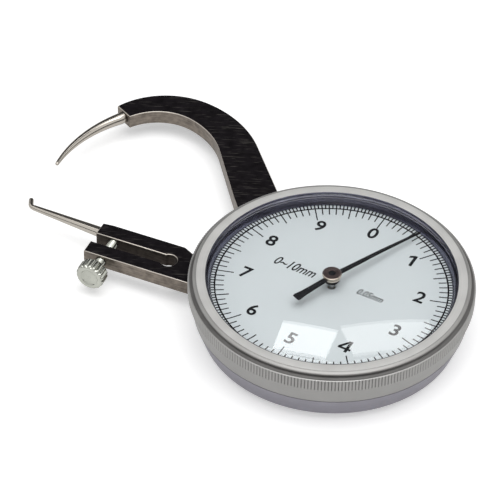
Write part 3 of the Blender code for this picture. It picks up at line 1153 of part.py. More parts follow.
def make_bezel_group(finishes, joint):
    """Build the bezel with the dial, its rings and the crystal, and the wire that holds it."""
    bore_top = SUPPORT_RING_BOTTOM - FIT_GAP
    profile = [(BEZEL_BORE_RADIUS, BEZEL_BOTTOM, 0),
               (BEZEL_SKIRT_RADIUS - RUNNING_GAP, BEZEL_BOTTOM, 0),
               (BEZEL_SKIRT_RADIUS, BEZEL_BOTTOM + SKIRT_TAPER_HEIGHT, 0),
               (BEZEL_OUTER_RADIUS - KNURL_DEPTH, KNURL_BOTTOM, 0),
               (BEZEL_OUTER_RADIUS, KNURL_BOTTOM + KNURL_DEPTH, KNURL_DEPTH),
               (BEZEL_OUTER_RADIUS, KNURL_TOP - KNURL_DEPTH, KNURL_DEPTH),
               (BEZEL_OUTER_RADIUS - KNURL_DEPTH, KNURL_TOP, 0),
               (BEZEL_GROOVE_RADIUS, BEZEL_TOP - BEZEL_GROOVE_DROP, 0),
               (BEZEL_SHOULDER_RADIUS, BEZEL_TOP - BEZEL_SHOULDER_DROP, 0),
               (BEZEL_TOP_OUTER_RADIUS, BEZEL_TOP, 0),
               (BEZEL_TOP_INNER_RADIUS, BEZEL_TOP, 0),
               (BEZEL_TOP_INNER_RADIUS, LIP_BOTTOM, 0),
               (BEZEL_INNER_RADIUS, LIP_BOTTOM, 0),
               (BEZEL_INNER_RADIUS, bore_top, 0),
               (BEZEL_BORE_RADIUS, bore_top, 0)]
    sections = []
    for radius, height, depth in profile:
        ring = []
        for i in range(BEZEL_SIDES):
            point = polar(radius - depth * (i % 2), 2 * pi * i / BEZEL_SIDES)
            ring.append((point.x, point.y, height))
        sections.append(ring)
    piece("bezel", stacked("bezel", sections, looped=True), finishes["aluminium"], joint)

    def flat_ring(name, inner, outer, bottom, thickness, finish, carrier):
        profile = [(inner, bottom), (outer, bottom), (outer, bottom + thickness),
                   (inner, bottom + thickness)]
        piece(name, turned(name, profile, RING_SIDES, closed=True), finish, carrier)

    flat_ring("dial", DIAL_HOLE_RADIUS, DIAL_RADIUS, DIAL_BOTTOM, DIAL_THICKNESS,
              finishes["dial"], joint)
    flat_ring("dial_support_ring", SUPPORT_RING_INNER_RADIUS, DIAL_RADIUS, SUPPORT_RING_BOTTOM,
              SUPPORT_RING_THICKNESS, finishes["brass"], joint)
    flat_ring("crystal_seat_ring", SEAT_RING_INNER_RADIUS, DIAL_RADIUS, SEAT_RING_BOTTOM,
              SEAT_RING_HEIGHT, finishes["aluminium"], joint)
    piece("crystal", turned("crystal", crystal_profile(), RING_SIDES), finishes["glass"], joint)

    wire_reach = CASE_NECK_RADIUS - RETAINING_GROOVE_DEPTH + FIT_GAP + RETAINING_WIRE_RADIUS
    middle = (CASE_SHOULDER + NECK_TOP) / 2
    half_gap = radians(RETAINING_SPRING_GAP_DEGREES) / 2
    sections = []
    for i in range(RETAINING_WIRE_STEPS + 1):
        share = i / RETAINING_WIRE_STEPS
        angle = -pi / 2 + half_gap + (2 * pi - 2 * half_gap) * share
        section = []
        for k in range(RETAINING_WIRE_SIDES):
            turn = 2 * pi * k / RETAINING_WIRE_SIDES
            point = polar(wire_reach + RETAINING_WIRE_RADIUS * cos(turn), angle)
            section.append((point.x, point.y, middle + RETAINING_WIRE_RADIUS * sin(turn)))
        sections.append(section)
    piece("bezel_retaining_spring", stacked("bezel_retaining_spring", sections), finishes["spring"])


def pointer_height(reach):
    """Return the height of the pointer's underside at a signed distance along it."""
    places = [(-POINTER_TAIL, POINTER_TAIL_LIFT), (0, HUB_BOTTOM - DIAL_TOP),
              (POINTER_MIDDLE_REACH, POINTER_MIDDLE_LIFT), (POINTER_LENGTH, POINTER_TIP_LIFT)]
    for (start, low), (end, high) in zip(places, places[1:]):
        if reach <= end:
            break
    return DIAL_TOP + low + (high - low) * (reach - start) / (end - start)


def make_pointer(finishes, joint):
    """Build the pointer, the collar under it and the cap on its hub."""
    stations = [(-POINTER_TAIL, POINTER_TAIL_HALF_WIDTH),
                (-POINTER_TAIL / 2, POINTER_TAIL_HALF_WIDTH / 2 + POINTER_ROOT_HALF_WIDTH / 2),
                (-POINTER_HUB_RADIUS, POINTER_ROOT_HALF_WIDTH),
                (POINTER_HUB_RADIUS, POINTER_ROOT_HALF_WIDTH),
                (POINTER_MIDDLE_REACH, POINTER_ROOT_HALF_WIDTH / 2 + POINTER_TIP_HALF_WIDTH / 2),
                (POINTER_LENGTH, POINTER_TIP_HALF_WIDTH)]
    sections = []
    for reach, half in stations:
        low = pointer_height(reach)
        sections.append([(reach, -half, low), (reach, half, low),
                         (reach, half, low + POINTER_THICKNESS), (reach, -half, low + POINTER_THICKNESS)])
    hand = stacked("pointer", sections)
    hub_low = HUB_BOTTOM - POINTER_THICKNESS / 2
    hub = pin(POINTER_HUB_RADIUS, hub_low, HUB_BOTTOM + POINTER_THICKNESS)
    blank = combined(hand, [hub], "UNION")
    hole = pin(POINTER_ARBOR_RADIUS + SCREW_SEAT_GAP, hub_low - CUT_OVERRUN,
               HUB_BOTTOM + POINTER_THICKNESS + CUT_OVERRUN, sides=SCREW_SIDES)
    mesh = combined(blank, [hole])
    mesh.transform(Matrix.Rotation(radians(POINTER_ANGLE_DEGREES), 4, "Z"))
    piece("pointer", mesh, finishes["black"], joint)
    bore = POINTER_ARBOR_RADIUS + SCREW_SEAT_GAP
    bottom = HUB_BOTTOM - POINTER_COLLAR_DROP
    top = hub_low - SCREW_SEAT_GAP
    collar = turned("pointer_collar", [(bore, bottom), (POINTER_COLLAR_RADIUS, bottom),
                                       (POINTER_COLLAR_RADIUS, top), (bore, top)],
                    PIN_SIDES, closed=True)
    piece("pointer_collar", collar, finishes["black"], joint)
    top = CAP_BOTTOM + POINTER_CAP_THICKNESS
    cap = turned("pointer_cap", [(0, CAP_BOTTOM), (POINTER_CAP_RADIUS, CAP_BOTTOM),
                                 (POINTER_CAP_RADIUS, top), (POINTER_CAP_DISH_RADIUS, top),
                                 (POINTER_CAP_DISH_RADIUS, top - POINTER_CAP_DISH_DEPTH),
                                 (0, top - POINTER_CAP_DISH_DEPTH)], CAP_SIDES)
    piece("pointer_cap", cap, finishes["bronze"], joint)


def make_finishes():
    """Return the materials of the gauge by name."""
    return {
        "case": material("case grey", (0.26, 0.25, 0.28), 0.9, 0.45),
        "aluminium": material("satin aluminium", (0.62, 0.62, 0.61), 1.0, 0.35),
        "arm": material("blackened steel", (0.03, 0.025, 0.028), 0.8, 0.4),
        "bright": material("bright steel", (0.55, 0.52, 0.48), 1.0, 0.2),
        "nickel": material("nickel", (0.62, 0.62, 0.58), 1.0, 0.25),
        "steel": material("steel", (0.5, 0.5, 0.5), 1.0, 0.35),
        "spring": material("spring steel", (0.35, 0.37, 0.42), 1.0, 0.3),
        "brass": material("brass", (0.65, 0.47, 0.18), 1.0, 0.3),
        "bronze": material("dark bronze", (0.16, 0.11, 0.08), 0.8, 0.4),
        "black": material("black lacquer", (0.01, 0.01, 0.01), 0.0, 0.4),
        "dial": material("white dial", (0.75, 0.78, 0.8), 0.0, 0.5),
        "glass": material("crystal glass", (1.0, 1.0, 1.0), 0.0, 0.02, transmission=1.0),
    }


def main():
    """Clear the scene and build the gauge."""
    for old in list(bpy.data.objects):
        bpy.data.objects.remove(old)
    finishes = make_finishes()
    jaw = joint_empty("jaw_axis", JAW_PIVOT, 0)
    intermediate = joint_empty("intermediate_axis", INTERMEDIATE_AXIS, 0)
    pointer = joint_empty("pointer_axis", DIAL_AXIS, 0)
    bezel = joint_empty("bezel_axis", DIAL_AXIS, 0)
    adjuster = joint_empty("adjusting_screw_axis",
                           bar_point(ADJUSTER_ALONG, ADJUSTER_FACE_ACROSS), ARM_MIDDLE)
    make_case(finishes)
    make_fixed_arm(finishes)
    make_moving_arm(finishes, jaw)
    make_adjuster(finishes, adjuster)
    make_jaw_pivot(finishes, jaw)
    make_gear_train(finishes, intermediate, pointer)
    make_bushes(finishes)
    make_movement_plate(finishes)
    make_bezel_group(finishes, bezel)
    make_pointer(finishes, pointer)


main()
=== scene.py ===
"""Looks of a dial caliper gauge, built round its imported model. Lengths are in metres."""

import json
import logging
from dataclasses import dataclass, field, replace
from enum import Enum
from math import acos, asin, atan2, ceil, cos, pi, radians, sin, sqrt
from typing import Optional, Sequence

import bmesh
import bpy
import numpy as np
from mathutils import Matrix, Quaternion, Vector
from mathutils.geometry import tessellate_polygon

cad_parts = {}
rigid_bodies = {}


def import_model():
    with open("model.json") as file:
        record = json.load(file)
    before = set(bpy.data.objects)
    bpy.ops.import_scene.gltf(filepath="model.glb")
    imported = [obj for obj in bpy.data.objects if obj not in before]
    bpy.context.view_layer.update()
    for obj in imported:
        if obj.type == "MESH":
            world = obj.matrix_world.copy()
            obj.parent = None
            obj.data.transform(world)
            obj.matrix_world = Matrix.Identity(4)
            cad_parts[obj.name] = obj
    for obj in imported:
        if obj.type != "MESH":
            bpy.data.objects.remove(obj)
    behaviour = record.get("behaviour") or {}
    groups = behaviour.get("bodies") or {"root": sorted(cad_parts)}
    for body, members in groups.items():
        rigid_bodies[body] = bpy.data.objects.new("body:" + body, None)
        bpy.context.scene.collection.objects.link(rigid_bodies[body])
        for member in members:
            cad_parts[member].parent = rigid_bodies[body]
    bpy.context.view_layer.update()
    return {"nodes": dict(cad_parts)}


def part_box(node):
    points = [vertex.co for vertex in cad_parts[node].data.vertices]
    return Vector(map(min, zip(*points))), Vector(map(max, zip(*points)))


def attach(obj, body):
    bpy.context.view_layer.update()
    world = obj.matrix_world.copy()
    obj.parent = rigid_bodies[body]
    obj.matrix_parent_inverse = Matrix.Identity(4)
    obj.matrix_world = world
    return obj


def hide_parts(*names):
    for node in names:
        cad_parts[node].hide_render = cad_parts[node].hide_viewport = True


for startup_object in list(bpy.data.objects):
    bpy.data.objects.remove(startup_object)
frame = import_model()

Array = np.ndarray
Colour = tuple[float, float, float]
LOG = logging.getLogger("gauge")
MM = 0.001
FULL_TURN = 2 * pi
MERGE_DISTANCE = 0.0005 * MM        # points closer than this become one
SHARP_ANGLE = radians(32)           # a steeper edge stays sharp
CUT_OVERRUN = 0.6 * MM              # how far a cutter reaches past the face that it opens
SEAT_GAP = 0.15 * MM                # play between a piece and the seat that holds it
BORE_SIDES = 32                     # flats of a round bore
ORIGIN = np.zeros(2)


# Plan geometry

def polar(radius: float | Array, angle: float | Array, centre: Array = ORIGIN) -> Array:
    """Place plan points round a centre: centre + radius * (cos angle, sin angle).

    Args:
        radius: distance from the centre, or an array of them.
        angle: angle in radians, or an array of them.
        centre: plan point that the angle is measured about.

    Returns:
        One plan point, or one row for each angle.
    """
    return centre + np.stack([radius * np.cos(angle), radius * np.sin(angle)], axis=-1)


def arc(radius: float, start: float, end: float, steps: int, centre: Array = ORIGIN) -> Array:
    """Return evenly spaced plan points of an arc, both ends included.

    Args:
        radius: the arc's radius.
        start: first angle in radians.
        end: last angle in radians.
        steps: number of chords.
        centre: the arc's centre.

    Returns:
        Array of steps + 1 plan points.
    """
    return polar(radius, np.linspace(start, end, steps + 1), centre)


def turned_about(point: Array, centre: Array, angle: float) -> Array:
    """Turn a plan point about a centre by the usual rotation matrix.

    Args:
        point: the plan point.
        centre: the point that stays.
        angle: the turn in radians, counterclockwise.

    Returns:
        The turned plan point.
    """
    turn = np.array([[cos(angle), -sin(angle)], [sin(angle), cos(angle)]])
    return centre + turn @ (point - centre)


def tangent_point(point: Array, centre: Array, radius: float, side: int) -> Array:
    """Return where a line from a point touches a circle.

    The angle between the line to the centre and the radius at the touching point has
    the cosine radius / distance.

    Args:
        point: where the line starts.
        centre: the circle's centre.
        radius: the circle's radius.
        side: 1 or -1, the side of the centre on which it touches.

    Returns:
        The touching plan point.
    """
    away = point - centre
    angle = atan2(away[1], away[0]) + side * acos(radius / np.hypot(*away))
    return polar(radius, angle, centre)


def angle_about(point: Array, centre: Array) -> float:
    """Return the angle in radians at which a plan point is seen from a centre."""
    return atan2(point[1] - centre[1], point[0] - centre[0])


def softened(profile: Sequence[Sequence[float]], radius: float, steps: int = 2,
             closed: bool = False) -> Array:
    """Round the corners of a profile with short parabolas.

    Each corner P between neighbours A and B gives way to (1-t)^2 S + 2t(1-t) P + t^2 E,
    where S and E lie on PA and PB at the given distance from P, or at 0.4 of a shorter side.

    Args:
        profile: rows of (radius, height) and any further columns, which are blended as well.
        radius: how far from a corner its rounding starts.
        steps: chords in each rounding.
        closed: whether the last point joins the first.

    Returns:
        Array of the rounded profile's rows.
    """
    rows = np.array(profile, float)
    before, after = np.roll(rows, 1, axis=0), np.roll(rows, -1, axis=0)

    def stand(other: Array) -> Array:
        away = other - rows
        length = np.hypot(away[:, 0], away[:, 1])[:, None]
        return rows + away * np.minimum(radius / np.maximum(length, MERGE_DISTANCE), 0.4)

    t = np.linspace(0, 1, steps + 1)[None, :, None]
    start, end = stand(before)[:, None], stand(after)[:, None]
    curve = (1 - t) ** 2 * start + 2 * t * (1 - t) * rows[:, None] + t ** 2 * end
    curve[..., 3:] = rows[:, None, 3:]
    if closed:
        return curve.reshape(-1, rows.shape[1])
    return np.vstack([rows[:1], curve[1:-1].reshape(-1, rows.shape[1]), rows[-1:]])


# Meshes

def solid(name: str, points: Array, faces: Sequence[Sequence[int]],
          bands: Optional[Sequence[int]] = None) -> bpy.types.Mesh:
    """Make a closed mesh with merged poles and seams, outward faces and smooth round sides.

    Args:
        name: the mesh's name.
        points: array of corners, one row each.
        faces: corner numbers of each face.
        bands: material number of each face.

    Returns:
        The finished mesh.
    """
    mesh = bpy.data.meshes.new(name)
    mesh.from_pydata(np.asarray(points, float).reshape(-1, 3).tolist(), [], list(faces))
    if bands is not None:
        mesh.polygons.foreach_set("material_index", np.asarray(bands, np.int32))
    return closed_up(mesh)


def closed_up(mesh: bpy.types.Mesh) -> bpy.types.Mesh:
    """Merge a mesh's doubled points, turn its faces outward and smooth its round sides."""
    bm = bmesh.new()
    bm.from_mesh(mesh)
    bmesh.ops.remove_doubles(bm, verts=bm.verts, dist=MERGE_DISTANCE)
    bmesh.ops.recalc_face_normals(bm, faces=bm.faces)
    bm.to_mesh(mesh)
    bm.free()
    mesh.shade_smooth()
    mesh.set_sharp_from_angle(angle=SHARP_ANGLE)
    return mesh


def grid_faces(rows: int, columns: int, row_loop: bool, column_loop: bool) -> Array:
    """Return the quads of a grid whose corner (row, column) has the number row * columns + column.

    Args:
        rows: number of rows of corners.
        columns: number of corners in a row.
        row_loop: whether the last row joins the first.
        column_loop: whether each row's last corner joins its first.

    Returns:
        Array with one row of four corner numbers for each quad.
    """
    i = np.arange(rows if row_loop else rows - 1)[:, None]
    j = np.arange(columns if column_loop else columns - 1)[None, :]
    after_i, after_j = (i + 1) % rows, (j + 1) % columns
    quads = [i * columns + j, i * columns + after_j, after_i * columns + after_j,
             after_i * columns + j]
    return np.stack([corner + 0 * (i + j) for corner in quads], axis=-1).reshape(-1, 4)


def capped_grid(rows: int, columns: int) -> list[list[int]]:
    """Return the faces of a closed skin: a grid's quads round the piece and a face over each end.

    Args:
        rows: number of sections.
        columns: corners of a section.

    Returns:
        The corner numbers of each face.
    """
    last = (rows - 1) * columns
    ends = [list(range(columns)), list(range(last, last + columns))]
    return grid_faces(rows, columns, False, True).tolist() + ends


def turned(name: str, profile: Sequence[Sequence[float]] | Array, sides: int,
           closed: bool = False, ribs: int = 0, banded: bool = False) -> bpy.types.Mesh:
    """Turn a profile about Z: (r cos a, r sin a, z) for each row (r, z) and angle a.

    A third column holds a rib depth d, and r becomes r - d ((1 - cos(ribs a)) / 2)^2. A fourth
    column holds the material number of the strip that starts at the row.

    Args:
        name: the mesh's name.
        profile: rows of (radius, height, rib depth, band); the last two may be left out.
        sides: number of angles.
        closed: whether the profile is a loop, which makes a ring.
        ribs: number of ribs round the piece.
        banded: whether the fourth column is used.

    Returns:
        The closed mesh.
    """
    rows = np.asarray(profile, float)
    angle = np.arange(sides)[None, :] * FULL_TURN / sides
    radius = rows[:, :1] + 0 * angle
    if ribs:
        radius = radius - rows[:, 2:3] * ((1 - np.cos(ribs * angle)) / 2) ** 2
    points = np.stack([radius * np.cos(angle), radius * np.sin(angle),
                       rows[:, 1:2] + 0 * angle], axis=-1)
    faces = grid_faces(len(rows), sides, closed, True)
    bands = None
    if banded:
        count = len(rows) if closed else len(rows) - 1
        bands = np.repeat(np.rint(rows[:count, 3]).astype(int), sides)
    return solid(name, points, faces.tolist(), bands)


def tube(name: str, path: Array, headings: Array, radii: Array, sides: int,
         height: float) -> bpy.types.Mesh:
    """Skin round sections along a level path, and close both ends.

    A point of a section is middle + r (cos t * aside + sin t * up), where aside is the
    heading turned a quarter to the left.

    Args:
        name: the mesh's name.
        path: plan points of the middle line.
        headings: direction of the middle line at each point, in radians.
        radii: section radius at each point.
        sides: corners of a section.
        height: height of the middle line.

    Returns:
        The closed mesh.
    """
    turn = np.arange(sides)[None, :] * FULL_TURN / sides
    aside = np.stack([-np.sin(headings), np.cos(headings)], axis=-1)
    flat = path[:, None, :] + (radii[:, None] * np.cos(turn))[..., None] * aside[:, None, :]
    points = np.dstack([flat, height + radii[:, None] * np.sin(turn)])
    return solid(name, points, capped_grid(len(path), sides))


def inset_loop(loop: Array, depth: float) -> Array:
    """Shift a closed plan loop to its left by a depth, with mitred corners.

    A corner moves by depth (n1 + n2) / (1 + n1.n2), where n1 and n2 are the left-hand unit
    normals of its two sides.

    Args:
        loop: plan points in order.
        depth: the shift.

    Returns:
        The shifted loop.
    """
    side = np.roll(loop, -1, axis=0) - loop
    side /= np.hypot(side[:, 0], side[:, 1])[:, None]
    after = np.stack([-side[:, 1], side[:, 0]], axis=-1)
    before = np.roll(after, 1, axis=0)
    cosine = (before * after).sum(axis=1)[:, None]
    return loop + depth * (before + after) / (1 + cosine)


def signed_area(loop: Array) -> float:
    """Return the area inside a plan loop, positive if it runs counterclockwise."""
    x, y = loop[:, 0], loop[:, 1]
    return float((x * np.roll(y, -1) - y * np.roll(x, -1)).sum() / 2)


class PlateFace(Enum):
    """Material numbers of a plate's faces."""

    FLAT = 0
    EDGE = 1
    SIDE = 2
    # slot walls, whose darker material is painted shade
    INNER = 3


def plate(name: str, outline: Array, holes: Sequence[Array], bottom: float, top: float,
          chamfer: float, slot_from: Optional[int] = None) -> bpy.types.Mesh:
    """Make a plate with chamfered edges from plan loops.

    Each loop gives four rings, inset at the bottom and top faces and full between them, and
    the two flat faces are filled between the inset rings.

    Args:
        name: the mesh's name.
        outline: the outside loop.
        holes: loops of the openings.
        bottom: height of the lower face.
        top: height of the upper face.
        chamfer: width and height of the chamfer, or 0 for none.
        slot_from: number of the outline's first point in a slot, which then runs to the last one; the slot's
            walls take the painted-shade number.

    Returns:
        The closed mesh, with the numbers of PlateFace.
    """
    slot = np.arange(len(outline)) >= (len(outline) if slot_from is None else slot_from)
    slot[-1] = False
    if signed_area(outline) < 0:
        outline, slot = outline[::-1], np.roll(slot[::-1], -1)
    loops = [outline] + [hole if signed_area(hole) < 0 else hole[::-1] for hole in holes]
    levels = [(bottom, chamfer), (bottom + chamfer, 0), (top - chamfer, 0), (top, chamfer)]
    kinds = [PlateFace.EDGE, PlateFace.SIDE, PlateFace.EDGE]
    if not chamfer:
        levels, kinds = [(bottom, 0), (top, 0)], [PlateFace.SIDE]
    points, faces, bands, insets = [], [], [], []
    first = 0
    for loop in loops:
        rings = [np.column_stack([inset_loop(loop, inset) if inset else loop,
                                  np.full(len(loop), height)]) for height, inset in levels]
        points.append(np.vstack(rings))
        insets.append((first, rings[0]))
        sides = grid_faces(len(levels), len(loop), False, True) + first
        faces += sides.tolist()
        # the slot's walls get the painted-shade number
        walls = np.where(slot, PlateFace.INNER.value, PlateFace.SIDE.value)
        bands += [number for kind in kinds for number in (
            walls.tolist() if loop is outline and kind is PlateFace.SIDE else [kind.value] * len(loop))]
        first += len(loop) * len(levels)
    numbers = np.concatenate([start + np.arange(len(ring)) for start, ring in insets])
    lift = np.concatenate([np.full(len(ring), len(ring) * (len(levels) - 1)) for _, ring in insets])
    filled = np.array(tessellate_polygon([[Vector(point) for point in ring] for _, ring in insets]))
    faces += numbers[filled].tolist() + (numbers + lift)[filled].tolist()
    bands += [PlateFace.FLAT.value] * (2 * len(filled))
    return solid(name, np.vstack(points), faces, bands)


def joined(name: str, meshes: Sequence[bpy.types.Mesh]) -> bpy.types.Mesh:
    """Return one mesh that holds several bodies side by side.

    Args:
        name: the new mesh's name.
        meshes: the bodies.

    Returns:
        The joined mesh.
    """
    bm = bmesh.new()
    for mesh in meshes:
        bm.from_mesh(mesh)
    result = bpy.data.meshes.new(name)
    bm.to_mesh(result)
    bm.free()
    return result


def combined(mesh: bpy.types.Mesh, tools: Sequence[bpy.types.Mesh],
             operation: str = "DIFFERENCE") -> bpy.types.Mesh:
    """Cut bodies from a mesh, or join them to it, with an exact Boolean.

    Args:
        mesh: the mesh to work on.
        tools: bodies that don't touch each other.
        operation: DIFFERENCE or UNION.

    Returns:
        The resulting mesh.
    """
    body = bpy.data.objects.new("body", with_places(mesh))
    tool = bpy.data.objects.new("tool", with_places(joined("tool", tools)))
    for item in (body, tool):
        bpy.context.scene.collection.objects.link(item)
    boolean = body.modifiers.new("combine", "BOOLEAN")
    boolean.operation = operation
    boolean.solver = "EXACT"
    boolean.object = tool
    graph = bpy.context.evaluated_depsgraph_get()
    result = bpy.data.meshes.new_from_object(body.evaluated_get(graph))
    result.name = mesh.name
    for item in (body, tool):
        bpy.data.objects.remove(item)
    return closed_up(result)


def with_places(mesh: bpy.types.Mesh, count: int = 4) -> bpy.types.Mesh:
    """Open places for materials, so that the faces' numbers outlast a Boolean."""
    while len(mesh.materials) < count:
        mesh.materials.append(None)
    return mesh


def banded_as(mesh: bpy.types.Mesh, number: int) -> bpy.types.Mesh:
    """Give every face of a mesh one material number."""
    mesh.polygons.foreach_set("material_index", np.full(len(mesh.polygons), number, np.int32))
    return mesh


def pin(radius: float, bottom: float, top: float, place: Array = ORIGIN,
        sides: int = 32) -> bpy.types.Mesh:
    """Return an upright cylinder at a plan place.

    Args:
        radius: the cylinder's radius.
        bottom: height of its lower end.
        top: height of its upper end.
        place: plan point of its axis.
        sides: number of flats.

    Returns:
        The closed mesh.
    """
    mesh = turned("pin", [(0, bottom), (radius, bottom), (radius, top), (0, top)], sides)
    mesh.transform(Matrix.Translation((*place, 0)))
    return mesh


def cross_pin(radius: float, start: Array, end: Array, height: float) -> bpy.types.Mesh:
    """Return a level cylinder between two plan points.

    Args:
        radius: the cylinder's radius.
        start: plan point of one end.
        end: plan point of the other end.
        height: height of its axis.

    Returns:
        The closed mesh.
    """
    heading = angle_about(end, start)
    return tube("cross_pin", np.array([start, end]), np.full(2, heading), np.full(2, radius),
                32, height)


def bore_loop(radius: float, centre: Array) -> Array:
    """Return the plan loop of a round bore: even points on its circle."""
    return polar(radius, np.arange(BORE_SIDES) * FULL_TURN / BORE_SIDES, centre)


def mount(mesh: bpy.types.Mesh, name: str, body: str,
          finishes: Sequence[bpy.types.Material], nodes: Sequence[str] = ()) -> bpy.types.Object:
    """Link one finished piece, dress it and fix it to its body.

    Args:
        mesh: the piece's mesh, already in its place.
        name: the piece's name.
        body: the body that it rides on.
        finishes: materials by number.
        nodes: CAD nodes that the piece stands for.

    Returns:
        The piece's object.
    """
    piece = bpy.data.objects.new(name, mesh)
    bpy.context.scene.collection.objects.link(piece)
    with_places(mesh, len(finishes))
    while len(mesh.materials) > len(finishes):
        mesh.materials.pop()
    for number, finish in enumerate(finishes):
        mesh.materials[number] = finish
    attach(piece, body)
    if nodes:
        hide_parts(*nodes)
    LOG.info("%s: %d faces on %s", name, len(mesh.polygons), body)
    return piece


# Finishes

class Grain(Enum):
    """Ways in which a surface was worked."""

    TURNED = "lathe lines round the piece's axis"
    GROUND = "lines along the plate's edge"
    BLASTED = "fine even grain"
    SCUFFED = "fine even grain with stray scratches"


class Board:
    """The node tree of one material, with short ways to add what the finishes share."""

    def __init__(self, name: str) -> None:
        """Start a material with a Principled shader.

        Args:
            name: the material's name.
        """
        self.material = bpy.data.materials.new(name)
        self.material.use_nodes = True
        self.nodes = self.material.node_tree.nodes
        self.shader = self.nodes["Principled BSDF"]

    def set(self, **values: float) -> None:
        """Set plain values on the shader's sockets, with underscores for spaces."""
        for key, value in values.items():
            self.shader.inputs[key.replace("_", " ")].default_value = value

    def link(self, start: bpy.types.NodeSocket, end: bpy.types.NodeSocket) -> None:
        """Join two sockets."""
        self.material.node_tree.links.new(start, end)

    def place(self, centre: Sequence[float] = (0, 0, 0), tilt: Sequence[float] = (0, 0, 0),
              scale: Sequence[float] = (1, 1, 1)) -> bpy.types.NodeSocket:
        """Return Object coordinates, shifted to a centre, turned and scaled.

        Args:
            centre: point that becomes the pattern's origin.
            tilt: angles in radians that turn the piece's axis to Z.
            scale: factors along each axis.

        Returns:
            The vector socket.
        """
        coordinates = self.nodes.new("ShaderNodeTexCoord").outputs["Object"]
        shift = self.nodes.new("ShaderNodeVectorMath")
        shift.operation = "SUBTRACT"
        shift.inputs[1].default_value = centre
        self.link(coordinates, shift.inputs[0])
        mapping = self.nodes.new("ShaderNodeMapping")
        mapping.inputs["Rotation"].default_value = tilt
        mapping.inputs["Scale"].default_value = scale
        self.link(shift.outputs["Vector"], mapping.inputs["Vector"])
        return mapping.outputs["Vector"]

    def round_axis(self, vector: bpy.types.NodeSocket) -> bpy.types.NodeSocket:
        """Turn (x, y, z) into (distance from the Z axis, 0, z), so that a pattern runs in rings.

        Args:
            vector: coordinates about the axis.

        Returns:
            The vector socket.
        """
        flat = self.nodes.new("ShaderNodeVectorMath")
        flat.operation = "MULTIPLY"
        flat.inputs[1].default_value = (1, 1, 0)
        self.link(vector, flat.inputs[0])
        length = self.nodes.new("ShaderNodeVectorMath")
        length.operation = "LENGTH"
        self.link(flat.outputs["Vector"], length.inputs[0])
        parts = self.nodes.new("ShaderNodeSeparateXYZ")
        self.link(vector, parts.inputs[0])
        ring = self.nodes.new("ShaderNodeCombineXYZ")
        self.link(length.outputs["Value"], ring.inputs["X"])
        self.link(parts.outputs["Z"], ring.inputs["Z"])
        return ring.outputs["Vector"]

    def noise(self, vector: bpy.types.NodeSocket, scale: float,
              detail: float = 2.0) -> bpy.types.NodeSocket:
        """Return a noise value from 0 to 1.

        Args:
            vector: the coordinates.
            scale: cells in a metre.
            detail: octaves.

        Returns:
            The value socket.
        """
        node = self.nodes.new("ShaderNodeTexNoise")
        node.inputs["Scale"].default_value = scale
        node.inputs["Detail"].default_value = detail
        self.link(vector, node.inputs["Vector"])
        return node.outputs["Fac"]

    def remap(self, value: bpy.types.NodeSocket, low: float, high: float, start: float = 0.3,
              end: float = 0.7) -> bpy.types.NodeSocket:
        """Carry a value from the range start to end over to the range low to high, clamped.

        Args:
            value: the socket to carry over.
            low: result at the range's start.
            high: result at its end.
            start: the range's start.
            end: the range's end.

        Returns:
            The value socket.
        """
        node = self.nodes.new("ShaderNodeMapRange")
        for socket, number in (("From Min", start), ("From Max", end), ("To Min", low),
                               ("To Max", high)):
            node.inputs[socket].default_value = number
        self.link(value, node.inputs["Value"])
        return node.outputs["Result"]

    def sum(self, *values: bpy.types.NodeSocket) -> bpy.types.NodeSocket:
        """Add value sockets and return the sum."""
        total = values[0]
        for value in values[1:]:
            node = self.nodes.new("ShaderNodeMath")
            self.link(total, node.inputs[0])
            self.link(value, node.inputs[1])
            total = node.outputs["Value"]
        return total

    def scratches(self, vector: bpy.types.NodeSocket, cells: float, turn: float) -> bpy.types.NodeSocket:
        """Return thin stray lines: noise stretched along one direction, cut off near its top.

        Args:
            vector: the coordinates.
            cells: cells in a metre across the lines.
            turn: the lines' direction in radians.

        Returns:
            A value that is 1 in a scratch.
        """
        mapping = self.nodes.new("ShaderNodeMapping")
        mapping.inputs["Rotation"].default_value = (0, 0, turn)
        mapping.inputs["Scale"].default_value = (0.05, 1, 1)
        self.link(vector, mapping.inputs["Vector"])
        return self.remap(self.noise(mapping.outputs["Vector"], cells, 3.0), 0, 1, 0.63, 0.72)

    def paint(self, fac: bpy.types.NodeSocket, dark: Colour, light: Colour) -> None:
        """Give the base colour a blend of two colours.

        Args:
            fac: 0 for the dark colour, 1 for the light one.
            dark: the first colour.
            light: the second colour.
        """
        node = self.nodes.new("ShaderNodeMix")
        node.data_type = "RGBA"
        node.inputs["A"].default_value = (*dark, 1)
        node.inputs["B"].default_value = (*light, 1)
        self.link(fac, node.inputs["Factor"])
        self.link(node.outputs["Result"], self.shader.inputs["Base Color"])

    def cover(self, fac: bpy.types.NodeSocket, colour: Colour) -> None:
        """Blend another colour over the base colour.

        Args:
            fac: 1 where the new colour shows.
            colour: the new colour.
        """
        node = self.nodes.new("ShaderNodeMix")
        node.data_type = "RGBA"
        node.inputs["B"].default_value = (*colour, 1)
        self.link(self.shader.inputs["Base Color"].links[0].from_socket, node.inputs["A"])
        self.link(fac, node.inputs["Factor"])
        self.link(node.outputs["Result"], self.shader.inputs["Base Color"])

    def soil(self, ring: bpy.types.NodeSocket, dark: float, unshaded: float, left: float) -> None:
        """Darken the base colour where the surface is near its axis: painted shade between ribs.

        Args:
            ring: coordinates from round_axis.
            dark: distance from the axis at which the colour is darkest.
            unshaded: distance at which it is as before.
            left: share of the colour that is left where it is darkest.
        """
        parts = self.nodes.new("ShaderNodeSeparateXYZ")
        self.link(ring, parts.inputs[0])
        level = self.remap(parts.outputs["X"], left, 1.0, dark, unshaded)
        scale = self.nodes.new("ShaderNodeVectorMath")
        scale.operation = "SCALE"
        self.link(self.shader.inputs["Base Color"].links[0].from_socket, scale.inputs[0])
        self.link(level, scale.inputs["Scale"])
        self.link(scale.outputs["Vector"], self.shader.inputs["Base Color"])

